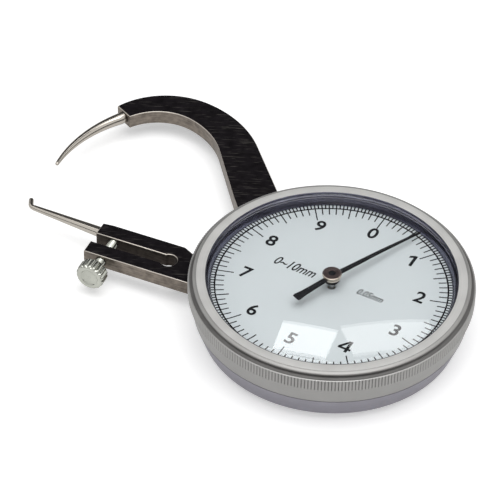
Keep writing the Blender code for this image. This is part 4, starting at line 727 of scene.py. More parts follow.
    def relief(self, height: bpy.types.NodeSocket, depth: float) -> None:
        """Bump the surface.

        Args:
            height: value socket.
            depth: height in metres of a value of 1.
        """
        node = self.nodes.new("ShaderNodeBump")
        node.inputs["Distance"].default_value = depth
        self.link(height, node.inputs["Height"])
        self.link(node.outputs["Normal"], self.shader.inputs["Normal"])


def toned(colour: Colour, factor: float) -> Colour:
    """Return a colour made darker or lighter by a factor."""
    return tuple(min(channel * factor, 1.0) for channel in colour)


@dataclass(frozen=True)
class Finish:
    """One surface finish: a base colour with clouds and worked grain in colour, gloss and relief, and painted
    shade between ribs where groove is set.
    """

    name: str
    colour: Colour
    roughness: float
    metallic: float = 1.0
    specular: float = 0.5
    grain: Grain = Grain.BLASTED
    cells: float = 9000.0           # grain cells in a metre
    depth: float = 0.004 * MM       # of the grain's relief
    contrast: float = 0.12          # of the colour between grain and clouds
    cloud_cells: float = 260.0      # cloud cells in a metre
    gloss_change: float = 0.08      # of the roughness
    centre: tuple[float, float, float] = (0.0, 0.0, 0.0)
    tilt: tuple[float, float, float] = (0.0, 0.0, 0.0)
    groove: tuple[float, float] = (0.0, 0.0)    # distances from the axis where the painted groove shade is darkest and where it ends
    grime: float = 0.6              # share of the colour left where the painted groove shade is darkest
    worn: Colour = (0.07, 0.065, 0.06)          # colour of the scratches on a scuffed finish

    def material(self) -> bpy.types.Material:
        """Build the finish as a node material on Object coordinates.

        Returns:
            The material.
        """
        board = Board(self.name)
        board.set(Metallic=self.metallic, Specular_IOR_Level=self.specular)
        spot = board.place(self.centre, self.tilt)
        cloud = board.noise(spot, self.cloud_cells, 3.0)
        if self.grain is Grain.TURNED:
            grain = board.noise(board.round_axis(spot), self.cells, 2.0)
        elif self.grain is Grain.GROUND:
            grain = board.noise(board.place(scale=(0.06, 0.06, 1)), self.cells, 3.0)
        else:
            grain = board.noise(spot, self.cells, 2.0)
        shade = board.sum(board.remap(cloud, 0, 0.5), board.remap(grain, 0, 0.5))
        height = grain
        gloss = board.sum(board.remap(cloud, self.roughness - self.gloss_change / 2, self.roughness),
                          board.remap(grain, 0, self.gloss_change / 2))
        if self.grain is Grain.SCUFFED:
            marks = board.sum(board.scratches(spot, 5200, 0.4), board.scratches(spot, 4300, 2.1))
            height = board.sum(grain, board.remap(marks, 0, -1, 0, 1))
        dark, light = toned(self.colour, 1 - self.contrast), toned(self.colour, 1 + self.contrast)
        board.paint(shade, dark, light)
        if self.grain is Grain.SCUFFED:
            board.cover(marks, self.worn)
        # painted shade between the ribs, darker towards the axis
        if self.groove[1]:
            board.soil(board.round_axis(spot), *self.groove, self.grime)
        board.link(gloss, board.shader.inputs["Roughness"])
        board.relief(height, self.depth)
        return board.material


@dataclass(frozen=True)
class Glass:
    """Clear window glass with a trace of dust. Light passes it without a shadow."""

    name: str = "window glass"
    ior: float = 1.5
    gloss: float = 0.32             # 0.5 is bare glass, less is coated against glare
    tint: Colour = (0.985, 0.995, 0.99)
    tint_cells: float = 900.0       # cells of the tint in a metre
    dust_cells: float = 14000.0     # cells of the dust in a metre

    def material(self) -> bpy.types.Material:
        """Build the glass, which is plain clear to shadow and diffuse rays.

        Returns:
            The material.
        """
        board = Board(self.name)
        board.set(Transmission_Weight=1.0, IOR=self.ior, Metallic=0.0, Specular_IOR_Level=self.gloss)
        cloud = board.noise(board.place(), self.tint_cells, 2.0)
        board.paint(board.remap(cloud, 0, 1), self.tint, (1, 1, 1))
        dust = board.remap(board.noise(board.place(), self.dust_cells, 2.0), 0.0, 0.02, 0.5, 0.75)
        board.link(dust, board.shader.inputs["Roughness"])
        path = board.nodes.new("ShaderNodeLightPath")
        either = board.nodes.new("ShaderNodeMath")
        either.operation = "MAXIMUM"
        board.link(path.outputs["Is Shadow Ray"], either.inputs[0])
        board.link(path.outputs["Is Diffuse Ray"], either.inputs[1])
        clear = board.nodes.new("ShaderNodeBsdfTransparent")
        mix = board.nodes.new("ShaderNodeMixShader")
        board.link(either.outputs["Value"], mix.inputs["Fac"])
        board.link(board.shader.outputs["BSDF"], mix.inputs[1])
        board.link(clear.outputs["BSDF"], mix.inputs[2])
        board.link(mix.outputs["Shader"], board.nodes["Material Output"].inputs["Surface"])
        return board.material


FINISHES: dict[str, Finish] = {made.name: made for made in (
    Finish("bezel face", (0.73, 0.725, 0.705), 0.46, metallic=0.6, grain=Grain.TURNED,
           contrast=0.08, cells=3600.0),
    # bezel shoulder, side and knurl: the face's aluminium with a darker base colour, which is painted shade
    Finish("shaded bezel shoulder", (0.36, 0.355, 0.345), 0.50, metallic=0.7, grain=Grain.TURNED,
           contrast=0.08, cells=3600.0),
    Finish("shaded bezel side", (0.40, 0.395, 0.385), 0.50, metallic=0.8, grain=Grain.TURNED,
           contrast=0.08, cells=3600.0),
    # the knurl gets painted shade between its ribs through groove
    Finish("shaded bezel knurl", (0.40, 0.395, 0.385), 0.44, contrast=0.10, groove=(25.76 * MM, 25.90 * MM)),
    # bezel groove: a near-black copy of the bezel metal, painted shade in the groove
    Finish("shaded bezel groove", (0.19, 0.185, 0.18), 0.50, grain=Grain.TURNED, contrast=0.15,
           cells=3600.0),
    Finish("bezel wall", (0.085, 0.085, 0.115), 0.30, grain=Grain.TURNED, contrast=0.2,
           cells=3600.0),
    Finish("seat ring", (0.15, 0.15, 0.20), 0.14, grain=Grain.TURNED, contrast=0.2,
           cells=4200.0, depth=0.002 * MM),
    Finish("case grey", (0.325, 0.315, 0.355), 0.46, metallic=0.85, grain=Grain.TURNED,
           contrast=0.10, cells=3600.0),
    Finish("arm face", (0.0085, 0.0072, 0.0085), 0.45, metallic=0.0, specular=0.04,
           grain=Grain.SCUFFED, contrast=0.75, cloud_cells=700.0, depth=0.006 * MM),
    Finish("arm edge", (0.52, 0.48, 0.43), 0.34, grain=Grain.GROUND, contrast=0.25),
    Finish("arm side", (0.21, 0.182, 0.155), 0.38, grain=Grain.GROUND, contrast=0.55,
           cells=4800.0, cloud_cells=900.0),
    # slot wall: the arm side's steel painted much darker, as painted shade inside the slot
    Finish("slot wall painted shade", (0.060, 0.050, 0.043), 0.42, grain=Grain.GROUND, contrast=0.5,
           cells=4800.0, cloud_cells=900.0),
    Finish("bright steel", (0.50, 0.465, 0.415), 0.10, contrast=0.10, depth=0.0008 * MM),
    Finish("nickel", (0.52, 0.53, 0.475), 0.18, grain=Grain.TURNED, cells=4200.0, contrast=0.20,
           depth=0.003 * MM),
    Finish("screw steel", (0.50, 0.50, 0.50), 0.30, contrast=0.12),
    Finish("spring steel", (0.26, 0.29, 0.38), 0.26, contrast=0.2),
    Finish("brass", (0.66, 0.48, 0.20), 0.28, contrast=0.14),
    Finish("dark bronze", (0.085, 0.058, 0.055), 0.34, metallic=0.85, grain=Grain.TURNED,
           contrast=0.25),
    Finish("hub rim", (0.62, 0.54, 0.46), 0.22, grain=Grain.TURNED, contrast=0.12),
    Finish("black lacquer", (0.005, 0.005, 0.007), 0.30, metallic=0.0, specular=0.12, contrast=0.3,
           depth=0.002 * MM),
    Finish("black ink", (0.005, 0.005, 0.007), 0.55, metallic=0.0, specular=0.05, contrast=0.4,
           depth=0.002 * MM),
    Finish("dial enamel", (0.70, 0.755, 0.775), 0.55, metallic=0.0, specular=0.2, contrast=0.02,
           depth=0.002 * MM, cloud_cells=60.0),
)}


class Workshop:
    """Makes each finish once and dresses the CAD nodes that stay in view."""

    def __init__(self) -> None:
        """Start with no material made."""
        self.made: dict[str, bpy.types.Material] = {}

    def finish(self, name: str) -> bpy.types.Material:
        """Return a finish's material, and make it at its first use.

        Args:
            name: the finish's name.

        Returns:
            The material.
        """
        if name not in self.made:
            self.made[name] = FINISHES[name].material()
        return self.made[name]

    def dress(self, finish: str, *nodes: str) -> None:
        """Assign a finish to the material slots of CAD nodes.

        Args:
            finish: the finish's name.
            nodes: names of the CAD nodes.
        """
        material = self.finish(finish)
        for name in nodes:
            mesh = frame["nodes"][name].data
            if not mesh.materials:
                mesh.materials.append(material)
            for number in range(len(mesh.materials)):
                mesh.materials[number] = material
        LOG.info("%s dresses %s", finish, ", ".join(nodes))


# Sub-assemblies

@dataclass
class Levels:
    """Heights of the layers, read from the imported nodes."""

    case_bottom: float = field(default_factory=lambda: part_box("case_body")[0].z)
    neck_top: float = field(default_factory=lambda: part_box("case_body")[1].z)
    arm_bottom: float = field(default_factory=lambda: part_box("moving_arm")[0].z)
    arm_top: float = field(default_factory=lambda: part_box("moving_arm")[1].z)
    bezel_bottom: float = field(default_factory=lambda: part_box("bezel")[0].z)
    bezel_top: float = field(default_factory=lambda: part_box("bezel")[1].z)
    dial_bottom: float = field(default_factory=lambda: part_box("dial")[0].z)
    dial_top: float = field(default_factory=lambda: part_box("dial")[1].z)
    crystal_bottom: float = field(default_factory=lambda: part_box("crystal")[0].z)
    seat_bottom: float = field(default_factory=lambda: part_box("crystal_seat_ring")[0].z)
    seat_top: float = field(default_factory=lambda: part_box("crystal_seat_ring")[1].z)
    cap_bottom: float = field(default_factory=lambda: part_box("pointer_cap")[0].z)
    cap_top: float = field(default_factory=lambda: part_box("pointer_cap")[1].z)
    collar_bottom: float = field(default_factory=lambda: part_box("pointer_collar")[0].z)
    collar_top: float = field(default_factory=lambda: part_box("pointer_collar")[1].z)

    @property
    def arm_middle(self) -> float:
        """Height of the arms' middle."""
        return (self.arm_bottom + self.arm_top) / 2


@dataclass
class MovingArm:
    """The slotted arm that swings, with its stylus. Its bar is laid out in its own frame:
    along runs outward from the dial's axis and across runs to the side of the stylus."""

    bar_angle: float = radians(159.5)
    upper: float = 3.03 * MM
    lower: float = -5.57 * MM
    end: float = 46.95 * MM
    lower_start: float = 20.0 * MM
    chamfer_end: float = 25.4 * MM
    chamfer_start: float = 30.3 * MM
    chamfer_depth: float = 2.5 * MM
    nose_length: float = 2.1 * MM
    nose_depth: float = 0.25 * MM
    slot_middle: float = -1.42 * MM
    slot_width: float = 2.4 * MM
    slot_root: float = 31.63 * MM
    relief_radius: float = 1.6 * MM
    relief_steps: int = 56
    hub_radius: float = 4.2 * MM
    pivot: Array = field(default_factory=lambda: np.array([4.67, 11.19]) * MM)
    pivot_bore: float = 1.65 * MM
    sector_bores: tuple[float, float] = (7.0 * MM, 10.2 * MM)
    sector_bore_radius: float = 0.65 * MM
    sector_ear_angle: float = radians(192.0)
    swing: float = radians(9.54)
    edge: float = 0.10 * MM
    screw_along: float = 43.54 * MM
    screw_bore: float = 1.05 * MM
    screw_bore_end: float = 1.75 * MM
    stylus_angle: float = radians(155.5)
    stylus_across: float = 1.705 * MM
    stylus_stand: float = 0.15 * MM
    stylus_peg: float = 1.8 * MM
    stylus_peg_radius: float = 0.65 * MM
    stylus_length: float = 14.35 * MM
    stylus_root_radius: float = 1.02 * MM
    stylus_bend_radius: float = 0.54 * MM
    stylus_tip_radius: float = 0.5 * MM
    stylus_bend: float = 1.1 * MM
    stylus_tip: float = 1.6 * MM
    stylus_tip_angle: float = radians(94.0)

    def point(self, along: float | Array, across: float | Array) -> Array:
        """Return plan points from places along and across the bar.

        Args:
            along: distance outward from the dial's axis.
            across: distance towards the stylus's side.

        Returns:
            along * outward + across * sideways.
        """
        outward = np.array([cos(self.bar_angle), sin(self.bar_angle)])
        sideways = np.array([sin(self.bar_angle), -cos(self.bar_angle)])
        return np.multiply.outer(along, outward) + np.multiply.outer(across, sideways)

    def corners(self) -> dict[str, Array]:
        """Return the named corner points of the outline at rest."""
        lower_turn = self.point(self.lower_start, self.lower)
        upper_turn = self.point(self.chamfer_end, self.upper - self.chamfer_depth)
        return {
            "lower end": self.point(self.end, self.lower),
            "lower turn": lower_turn,
            "hub lower": tangent_point(lower_turn, self.pivot, self.hub_radius, 1),
            "hub upper": tangent_point(upper_turn, self.pivot, self.hub_radius, -1),
            "upper turn": upper_turn,
            "chamfer": self.point(self.chamfer_start, self.upper),
            "nose": self.point(self.end - self.nose_length, self.upper),
            "upper end": self.point(self.end, self.upper - self.nose_depth),
        }

    def closed(self, point: Array) -> Array:
        """Return where a point of the arm is when the tips meet."""
        return turned_about(point, self.pivot, -self.swing)

    def outline(self) -> Array:
        """Return the outline at rest: hub, bar, slot and the round relief at the slot's root."""
        corner = self.corners()
        half = self.slot_width / 2
        opening = asin(half / self.relief_radius)
        hub = arc(self.hub_radius, angle_about(corner["hub lower"], self.pivot),
                  angle_about(corner["hub upper"], self.pivot), 56, self.pivot)
        turn = np.linspace(-opening, opening - FULL_TURN, self.relief_steps + 1)[::-1]
        relief = self.point(self.slot_root + self.relief_radius * np.cos(turn),
                            self.slot_middle + self.relief_radius * np.sin(turn))
        return np.vstack([corner["lower end"], corner["lower turn"], hub, corner["upper turn"],
                          corner["chamfer"], corner["nose"], corner["upper end"],
                          self.point(self.end, self.slot_middle + half), relief,
                          self.point(self.end, self.slot_middle - half)])

    def stylus_path(self) -> tuple[Array, Array, Array]:
        """Lay out the stylus: a tapering straight, a bend to one side and a rounded tip.

        On the bend the point is centre + bend * (-sin h, cos h), where h is the heading.
        The tip's last sections shrink as r cos t while they advance by r sin t.

        Returns:
            The middle line's points, headings and radii.
        """
        out = np.array([cos(self.stylus_angle), sin(self.stylus_angle)])
        root = self.point(self.end + self.stylus_stand, self.stylus_across)
        travel = np.linspace(0, self.stylus_length, 24)
        straight = root + travel[:, None] * out
        taper = self.stylus_root_radius + ((self.stylus_bend_radius - self.stylus_root_radius)
                                           * travel / self.stylus_length)
        heading = np.linspace(self.stylus_angle, self.stylus_tip_angle, 14)[1:]
        centre = straight[-1] + self.stylus_bend * np.array([out[1], -out[0]])
        bend = centre + self.stylus_bend * np.stack([-np.sin(heading), np.cos(heading)], axis=-1)
        tip_way = np.array([cos(self.stylus_tip_angle), sin(self.stylus_tip_angle)])
        turn = np.linspace(0, 0.47 * pi, 8)
        radius = self.stylus_tip_radius
        reach = self.stylus_tip - radius + radius * np.sin(turn)
        tip = bend[-1] + reach[:, None] * tip_way
        path = np.vstack([root - self.stylus_peg * out, root, straight, bend, tip])
        headings = np.concatenate([np.full(26, self.stylus_angle), heading,
                                   np.full(8, self.stylus_tip_angle)])
        radii = np.concatenate([np.full(2, self.stylus_peg_radius), taper, np.full(13, radius),
                                radius * np.cos(turn)])
        return path, headings, radii

    def build(self, levels: Levels, shop: Workshop) -> None:
        """Build and dress the arm and its stylus.

        Args:
            levels: heights of the layers.
            shop: maker of the finishes.
        """
        holes = [bore_loop(self.pivot_bore, self.pivot)]
        holes += [bore_loop(self.sector_bore_radius, polar(reach, self.sector_ear_angle, self.pivot))
                  for reach in self.sector_bores]
        outline = self.outline()
        arm = plate("moving arm", outline, holes, levels.arm_bottom, levels.arm_top, self.edge,
                    len(outline) - self.relief_steps - 3)
        bore = cross_pin(self.screw_bore, self.point(self.screw_along, self.lower - CUT_OVERRUN),
                         self.point(self.screw_along, self.screw_bore_end), levels.arm_middle)
        arm = combined(arm, [banded_as(bore, PlateFace.SIDE.value)])
        out = np.array([cos(self.stylus_angle), sin(self.stylus_angle)])
        root = self.point(self.end + self.stylus_stand, self.stylus_across)
        socket = cross_pin(self.stylus_peg_radius + SEAT_GAP, root + CUT_OVERRUN * out,
                           root - (self.stylus_peg + 0.3 * MM) * out, levels.arm_middle)
        arm = combined(arm, [banded_as(socket, PlateFace.SIDE.value)])
        # the slot's walls take a finish that is painted shade
        faces = [shop.finish(name) for name in ("arm face", "arm edge", "arm side", "slot wall painted shade")]
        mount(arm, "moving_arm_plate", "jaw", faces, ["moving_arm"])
        stylus = tube("stylus", *self.stylus_path(), 48, levels.arm_middle)
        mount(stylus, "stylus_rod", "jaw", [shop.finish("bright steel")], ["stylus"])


@dataclass
class FixedArm:
    """The curved arm with its foot inside the case and the bent needle in its end."""

    start_radius: float = 32.98 * MM
    start_angle: float = radians(117.33)
    heading: float = radians(106.87)
    straight: float = 13.46 * MM
    first_radius: float = 19.35 * MM
    first_turn: float = radians(40.54)
    second_radius: float = 12.53 * MM
    second_turn: float = radians(72.85)
    root_width: float = 8.48 * MM
    end_width: float = 4.07 * MM
    taper_power: float = 1.26
    foot_radius: float = 21.6 * MM
    foot_clearance: float = 0.35 * MM
    foot_end: float = -0.3 * MM
    foot_screws: tuple[tuple[float, float], ...] = ((19.78 * MM, 122.4), (17.95 * MM, 99.6))
    foot_screw_bore: float = 0.95 * MM
    edge: float = 0.10 * MM
    needle_peg: float = 4.0 * MM
    needle_peg_radius: float = 0.8 * MM
    needle_root: float = 0.87 * MM
    needle_radius: float = 26.92 * MM
    needle_start: float = radians(123.3)
    needle_end: float = radians(162.2)
    needle_root_radius: float = 1.15 * MM
    needle_tip_radius: float = 0.38 * MM

    @property
    def start(self) -> Array:
        """Plan point where the middle line's straight begins."""
        return polar(self.start_radius, self.start_angle)

    @property
    def length(self) -> float:
        """Length of the middle line outside the foot."""
        return (self.straight + self.first_radius * self.first_turn
                + self.second_radius * self.second_turn)

    def stations(self, travel: Array) -> tuple[Array, Array, Array]:
        """Return the middle line at distances along it.

        An arc that turns left from heading g to h adds radius * (sin h - sin g, cos g - cos h).

        Args:
            travel: distances along the middle line.

        Returns:
            The points, the headings and the half widths.
        """
        first = self.heading + np.clip((travel - self.straight) / self.first_radius, 0, self.first_turn)
        rest = travel - self.straight - self.first_radius * self.first_turn
        second = first + np.clip(rest / self.second_radius, 0, self.second_turn)
        point = self.start + np.minimum(travel, self.straight)[:, None] * [cos(self.heading),
                                                                            sin(self.heading)]
        before = np.full_like(travel, self.heading)
        for radius, after in ((self.first_radius, first), (self.second_radius, second)):
            point = point + radius * np.stack([np.sin(after) - np.sin(before),
                                               np.cos(before) - np.cos(after)], axis=-1)
            before = after
        share = np.clip(travel / self.length, 0, 1) ** self.taper_power
        return point, second, (self.root_width + (self.end_width - self.root_width) * share) / 2

    def outline(self, jaw: MovingArm) -> Array:
        """Return the outline: the tapering arm, and a foot that clears the closed moving arm.

        Args:
            jaw: the moving arm.

        Returns:
            The outline's plan points.
        """
        travel = np.concatenate([[0.0], np.linspace(self.straight, self.length, 90)])
        point, heading, half = self.stations(travel)
        aside = half[:, None] * np.stack([-np.sin(heading), np.cos(heading)], axis=-1)
        left, right = point + aside, point - aside
        inward = -np.array([cos(self.heading), sin(self.heading)])
        along = right[0] @ inward
        reach = -along - sqrt(along ** 2 - right[0] @ right[0] + self.foot_radius ** 2)
        foot = right[0] + reach * inward
        rim = arc(self.foot_radius, angle_about(foot, ORIGIN), acos(self.foot_end / self.foot_radius), 16)

        corner = jaw.corners()
        start, end = jaw.closed(corner["upper turn"]), jaw.closed(corner["hub upper"])
        way = (end - start) / np.hypot(*(end - start))
        start = start + self.foot_clearance * np.array([-way[1], way[0]])
        inner = start + way * (self.foot_end - start[0]) / way[0]
        gap = start - left[0]
        reach = (gap[0] * way[1] - gap[1] * way[0]) / (inward[0] * way[1] - inward[1] * way[0])
        return np.vstack([left, right[::-1], rim, inner, left[0] + reach * inward])

    def needle_path(self) -> tuple[Array, Array, Array]:
        """Lay out the needle: a peg, a short straight, then one arc that tapers to a round point.

        On the arc the point is centre + radius * (cos a, sin a), and the heading is a + pi / 2.

        Returns:
            The middle line's points, headings and radii.
        """
        point, heading, _ = self.stations(np.array([self.length]))
        tip, way = point[0], heading[0]
        out = np.array([cos(way), sin(way)])
        centre = tip + self.needle_root * out - polar(self.needle_radius, self.needle_start)
        angle = np.linspace(self.needle_start, self.needle_end, 40)
        share = np.linspace(0, 1, 40)
        taper = self.needle_root_radius + (self.needle_tip_radius - self.needle_root_radius) * share
        turn = np.linspace(0, 0.46 * pi, 8)[1:]
        end = self.needle_end + self.needle_tip_radius * np.sin(turn) / self.needle_radius
        angles = np.concatenate([angle, end])
        path = np.vstack([tip - self.needle_peg * out, tip + SEAT_GAP * out, tip + SEAT_GAP * out,
                          polar(self.needle_radius, angles, centre)])
        headings = np.concatenate([np.full(3, way), angles + pi / 2])
        radii = np.concatenate([np.full(2, self.needle_peg_radius), [self.needle_root_radius], taper,
                                self.needle_tip_radius * np.cos(turn)])
        return path, headings, radii

    def build(self, levels: Levels, jaw: MovingArm, shop: Workshop) -> None:
        """Build and dress the arm and its needle.

        Args:
            levels: heights of the layers.
            jaw: the moving arm.
            shop: maker of the finishes.
        """
        holes = [bore_loop(self.foot_screw_bore, polar(reach, radians(angle)))
                 for reach, angle in self.foot_screws]
        arm = plate("fixed arm", self.outline(jaw), holes, levels.arm_bottom, levels.arm_top, self.edge)
        point, heading, _ = self.stations(np.array([self.length]))
        out = np.array([cos(heading[0]), sin(heading[0])])
        socket = cross_pin(self.needle_peg_radius + SEAT_GAP, point[0] + CUT_OVERRUN * out,
                           point[0] - (self.needle_peg + SEAT_GAP) * out, levels.arm_middle)
        arm = combined(arm, [banded_as(socket, PlateFace.SIDE.value)])
        faces = [shop.finish(name) for name in ("arm face", "arm edge", "arm side")]
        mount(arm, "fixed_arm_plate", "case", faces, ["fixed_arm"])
        needle = tube("needle", *self.needle_path(), 48, levels.arm_middle)
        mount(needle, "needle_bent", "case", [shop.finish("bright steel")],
              ["fixed_needle"])


@dataclass
class ThumbScrew:
    """The ribbed screw across the slot. Its own Z runs from the outer face along the shank."""

    head_radius: float = 2.74 * MM
    head_thickness: float = 2.65 * MM
    ribs: int = 18
    rib_depth: float = 0.28 * MM
    chamfer: float = 0.35 * MM
    dish_radius: float = 1.7 * MM
    dish_depth: float = 0.18 * MM
    shank_radius: float = 0.9 * MM
    thread_depth: float = 0.14 * MM
    pitch: float = 0.4 * MM
    face_across: float = -10.5 * MM
    shank_end: float = 1.6 * MM
    neck: float = 0.25 * MM

    def shank(self, length: float) -> bpy.types.Mesh:
        """Make the threaded shank.

        The radius is shank_radius - depth * |2 frac(z / pitch - a / (2 pi)) - 1|, which is a
        V thread, and it narrows to a short cone at the free end.

        Args:
            length: distance from the head's face to the free end.

        Returns:
            The closed mesh.
        """
        sides, root = 32, self.head_thickness - self.neck
        height = np.linspace(root, length, int(ceil((length - root) / self.pitch * 8)) + 1)[:, None]
        angle = np.arange(sides)[None, :] * FULL_TURN / sides
        phase = height / self.pitch - angle / FULL_TURN
        radius = self.shank_radius - self.thread_depth * np.abs(2 * (phase % 1) - 1)
        radius = np.minimum(radius, self.shank_radius - 0.3 * MM + (length - height))
        points = np.stack([radius * np.cos(angle), radius * np.sin(angle), height + 0 * angle], axis=-1)
        return solid("shank", points, capped_grid(len(height), sides))

    def build(self, levels: Levels, jaw: MovingArm, shop: Workshop) -> None:
        """Build and dress the screw across the moving arm's slot.

        Args:
            levels: heights of the layers.
            jaw: the moving arm, which carries the screw.
            shop: maker of the finishes.
        """
        top, deep = self.head_thickness, self.rib_depth
        edge = self.head_radius - self.chamfer
        profile = [(0, self.dish_depth, 0), (self.dish_radius - 0.15 * MM, self.dish_depth, 0),
                   (self.dish_radius, 0, 0), (edge, 0, 0),
                   (self.head_radius, self.chamfer, deep), (self.head_radius, top - self.chamfer, deep),
                   (edge, top, 0), (0, top, 0)]
        head = turned("thumb screw", softened(profile, 0.12 * MM, 3), self.ribs * 10, ribs=self.ribs)
        mesh = combined(head, [self.shank(self.shank_end - self.face_across)], "UNION")
        face = (*jaw.point(jaw.screw_along, self.face_across), levels.arm_middle)
        turn = Matrix.Rotation(jaw.bar_angle - pi / 2, 4, "Z") @ Matrix.Rotation(pi / 2, 4, "Y")
        mesh.transform(Matrix.Translation(face) @ turn)
        finish = replace(FINISHES["nickel"], centre=face, tilt=tuple(turn.inverted().to_euler()))
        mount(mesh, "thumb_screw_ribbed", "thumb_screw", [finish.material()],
              ["adjusting_screw"])


@dataclass
class Case:
    """The round case, open for both arms, with its back cover and cover screws."""

    neck_radius: float = 24.0 * MM
    upper_radius: float = 25.05 * MM
    lower_radius: float = 23.6 * MM
    wall_inner_radius: float = 22.0 * MM
    floor: float = 1.0 * MM
    groove_depth: float = 0.6 * MM
    groove_height: float = 0.7 * MM
    notch_sill: float = 0.05 * MM
    jaw_notch_gap: float = 0.3 * MM
    jaw_notch_reach: float = 9.15 * MM
    fixed_notch_gap: float = 0.15 * MM
    fixed_notch_overrun: float = 5.8 * MM
    cover_thickness: float = 1.5 * MM
    cover_top_radius: float = 22.8 * MM
    cover_bottom_radius: float = 21.4 * MM
    cover_screw_reach: float = 18.5 * MM
    cover_screw_angles: tuple[float, ...] = (30.0, 150.0, 270.0)
    cover_screw_head: float = 1.4 * MM
    cover_screw_height: float = 0.7 * MM
    cover_screw_shank: float = 0.7 * MM
    slot_width: float = 0.3 * MM
    slot_depth: float = 0.2 * MM

    def notches(self, levels: Levels, jaw: MovingArm, arm: FixedArm) -> list[bpy.types.Mesh]:
        """Return the prisms that open the wall for the two arms.

        Args:
            levels: heights of the layers.
            jaw: the moving arm, which needs room from rest to closed.
            arm: the fixed arm.

        Returns:
            The two prisms.
        """
        low = levels.case_bottom + self.floor + self.notch_sill
        high = levels.neck_top + CUT_OVERRUN
        corner = jaw.corners()
        lift = np.array([0, 2 * self.jaw_notch_gap])
        top, bend, hub = (jaw.closed(corner[name]) + lift for name in ("chamfer", "upper turn", "hub upper"))
        reach = self.jaw_notch_reach * (hub - bend) / np.hypot(*(hub - bend))
        across = jaw.lower - self.jaw_notch_gap
        swung = np.array([jaw.point(jaw.lower_start, across), jaw.point(jaw.chamfer_start, across),
                          top, bend, bend + reach])
        out = np.array([cos(arm.heading), sin(arm.heading)])
        aside = (arm.root_width / 2 + self.fixed_notch_gap) * np.array([-out[1], out[0]])
        inner = arm.start + (arm.foot_radius - arm.start_radius - self.fixed_notch_overrun) * out
        fixed = np.array([inner + aside, inner - aside, arm.start - aside, arm.start + aside])
        return [plate("notch", loop, [], low, high, 0) for loop in (swung, fixed)]

    def floor_bores(self, levels: Levels, arm: FixedArm) -> list[bpy.types.Mesh]:
        """Return the pins that bore the floor for what stands in it.

        Args:
            levels: heights of the layers.
            arm: the fixed arm.

        Returns:
            One pin for each bore, at the place and radius of the node that it takes.
        """
        seats = {"centre_bush_lower": 1.2, "intermediate_bush_lower": 1.2, "jaw_pivot_post": 1.0,
                 "jaw_stop_pin": 0.8, "hairspring_stud": 0.6, "pillar_1": 0.9, "pillar_2": 0.9,
                 "pillar_3": 0.9}
        low = levels.case_bottom - CUT_OVERRUN
        high = levels.case_bottom + self.floor + CUT_OVERRUN
        gap = self.fixed_notch_gap
        tools = []
        for node, radius in seats.items():
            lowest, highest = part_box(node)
            place = np.array([lowest.x + highest.x, lowest.y + highest.y]) / 2
            tools.append(pin(radius * MM + gap, low, high, place))
        tools += [pin(self.cover_screw_shank + gap, low, high, place) for place in self.screw_places()]
        tools += [pin(arm.foot_screw_bore, low, high, polar(reach, radians(angle)))
                  for reach, angle in arm.foot_screws]
        return tools

    def screw_places(self) -> list[Array]:
        """Return the plan places of the cover screws."""
        return [polar(self.cover_screw_reach, radians(angle)) for angle in self.cover_screw_angles]

    def build_body(self, levels: Levels, jaw: MovingArm, arm: FixedArm, shop: Workshop) -> None:
        """Build and dress the case body.

        Args:
            levels: heights of the layers.
            jaw: the moving arm.
            arm: the fixed arm.
            shop: maker of the finishes.
        """
        bottom, shoulder, top = levels.case_bottom, levels.arm_top, levels.neck_top
        low = (shoulder + top - self.groove_height) / 2
        groove = self.neck_radius - self.groove_depth
        profile = [(0, bottom), (self.lower_radius, bottom), (self.upper_radius, shoulder),
                   (self.neck_radius, shoulder), (self.neck_radius, low), (groove, low),
                   (groove, low + self.groove_height), (self.neck_radius, low + self.groove_height),
                   (self.neck_radius, top), (self.wall_inner_radius, top),
                   (self.wall_inner_radius, bottom + self.floor), (0, bottom + self.floor)]
        body = turned("case", softened(profile, 0.12 * MM, 3), 180)
        for notch in self.notches(levels, jaw, arm):
            body = combined(body, [notch])
        body = combined(body, self.floor_bores(levels, arm))
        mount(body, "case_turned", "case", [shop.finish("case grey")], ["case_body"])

    def build_cover(self, shop: Workshop) -> None:
        """Build and dress the back cover and its slotted screws.

        Args:
            shop: maker of the finishes.
        """
        thick, head = self.cover_thickness, self.cover_screw_head + SEAT_GAP
        shank, seat = self.cover_screw_shank + SEAT_GAP, self.cover_screw_height + 0.1 * MM
        cover = turned("back cover", softened([(0, 0), (self.cover_bottom_radius, 0),
                                               (self.cover_top_radius, thick), (0, thick)],
                                              0.2 * MM, 3), 180)
        steps = [(0, -CUT_OVERRUN), (head, -CUT_OVERRUN), (head, seat), (shank, seat),
                 (shank, thick + CUT_OVERRUN), (0, thick + CUT_OVERRUN)]
        tools = []
        for place in self.screw_places():
            bore = turned("bore", steps, 36)
            bore.transform(Matrix.Translation((*place, 0)))
            tools.append(bore)
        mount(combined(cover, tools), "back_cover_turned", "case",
              [shop.finish("case grey")], ["back_cover"])
        for number, place in enumerate(self.screw_places(), 1):
            node = f"back_cover_screw_{number}"
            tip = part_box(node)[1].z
            profile = [(0, 0), (self.cover_screw_head, 0), (self.cover_screw_head, self.cover_screw_height),
                       (self.cover_screw_shank, self.cover_screw_height), (self.cover_screw_shank, tip),
                       (0, tip)]
            screw = turned("cover screw", softened(profile, 0.1 * MM, 3), 40)
            half, reach = self.slot_width / 2, self.cover_screw_head + CUT_OVERRUN
            loop = np.array([(-reach, -half), (reach, -half), (reach, half), (-reach, half)])
            screw = combined(screw, [plate("slot", loop, [], -CUT_OVERRUN, self.slot_depth, 0)])
            screw.transform(Matrix.Translation((*place, 0)))
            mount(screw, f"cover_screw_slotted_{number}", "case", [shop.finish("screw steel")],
                  [node])


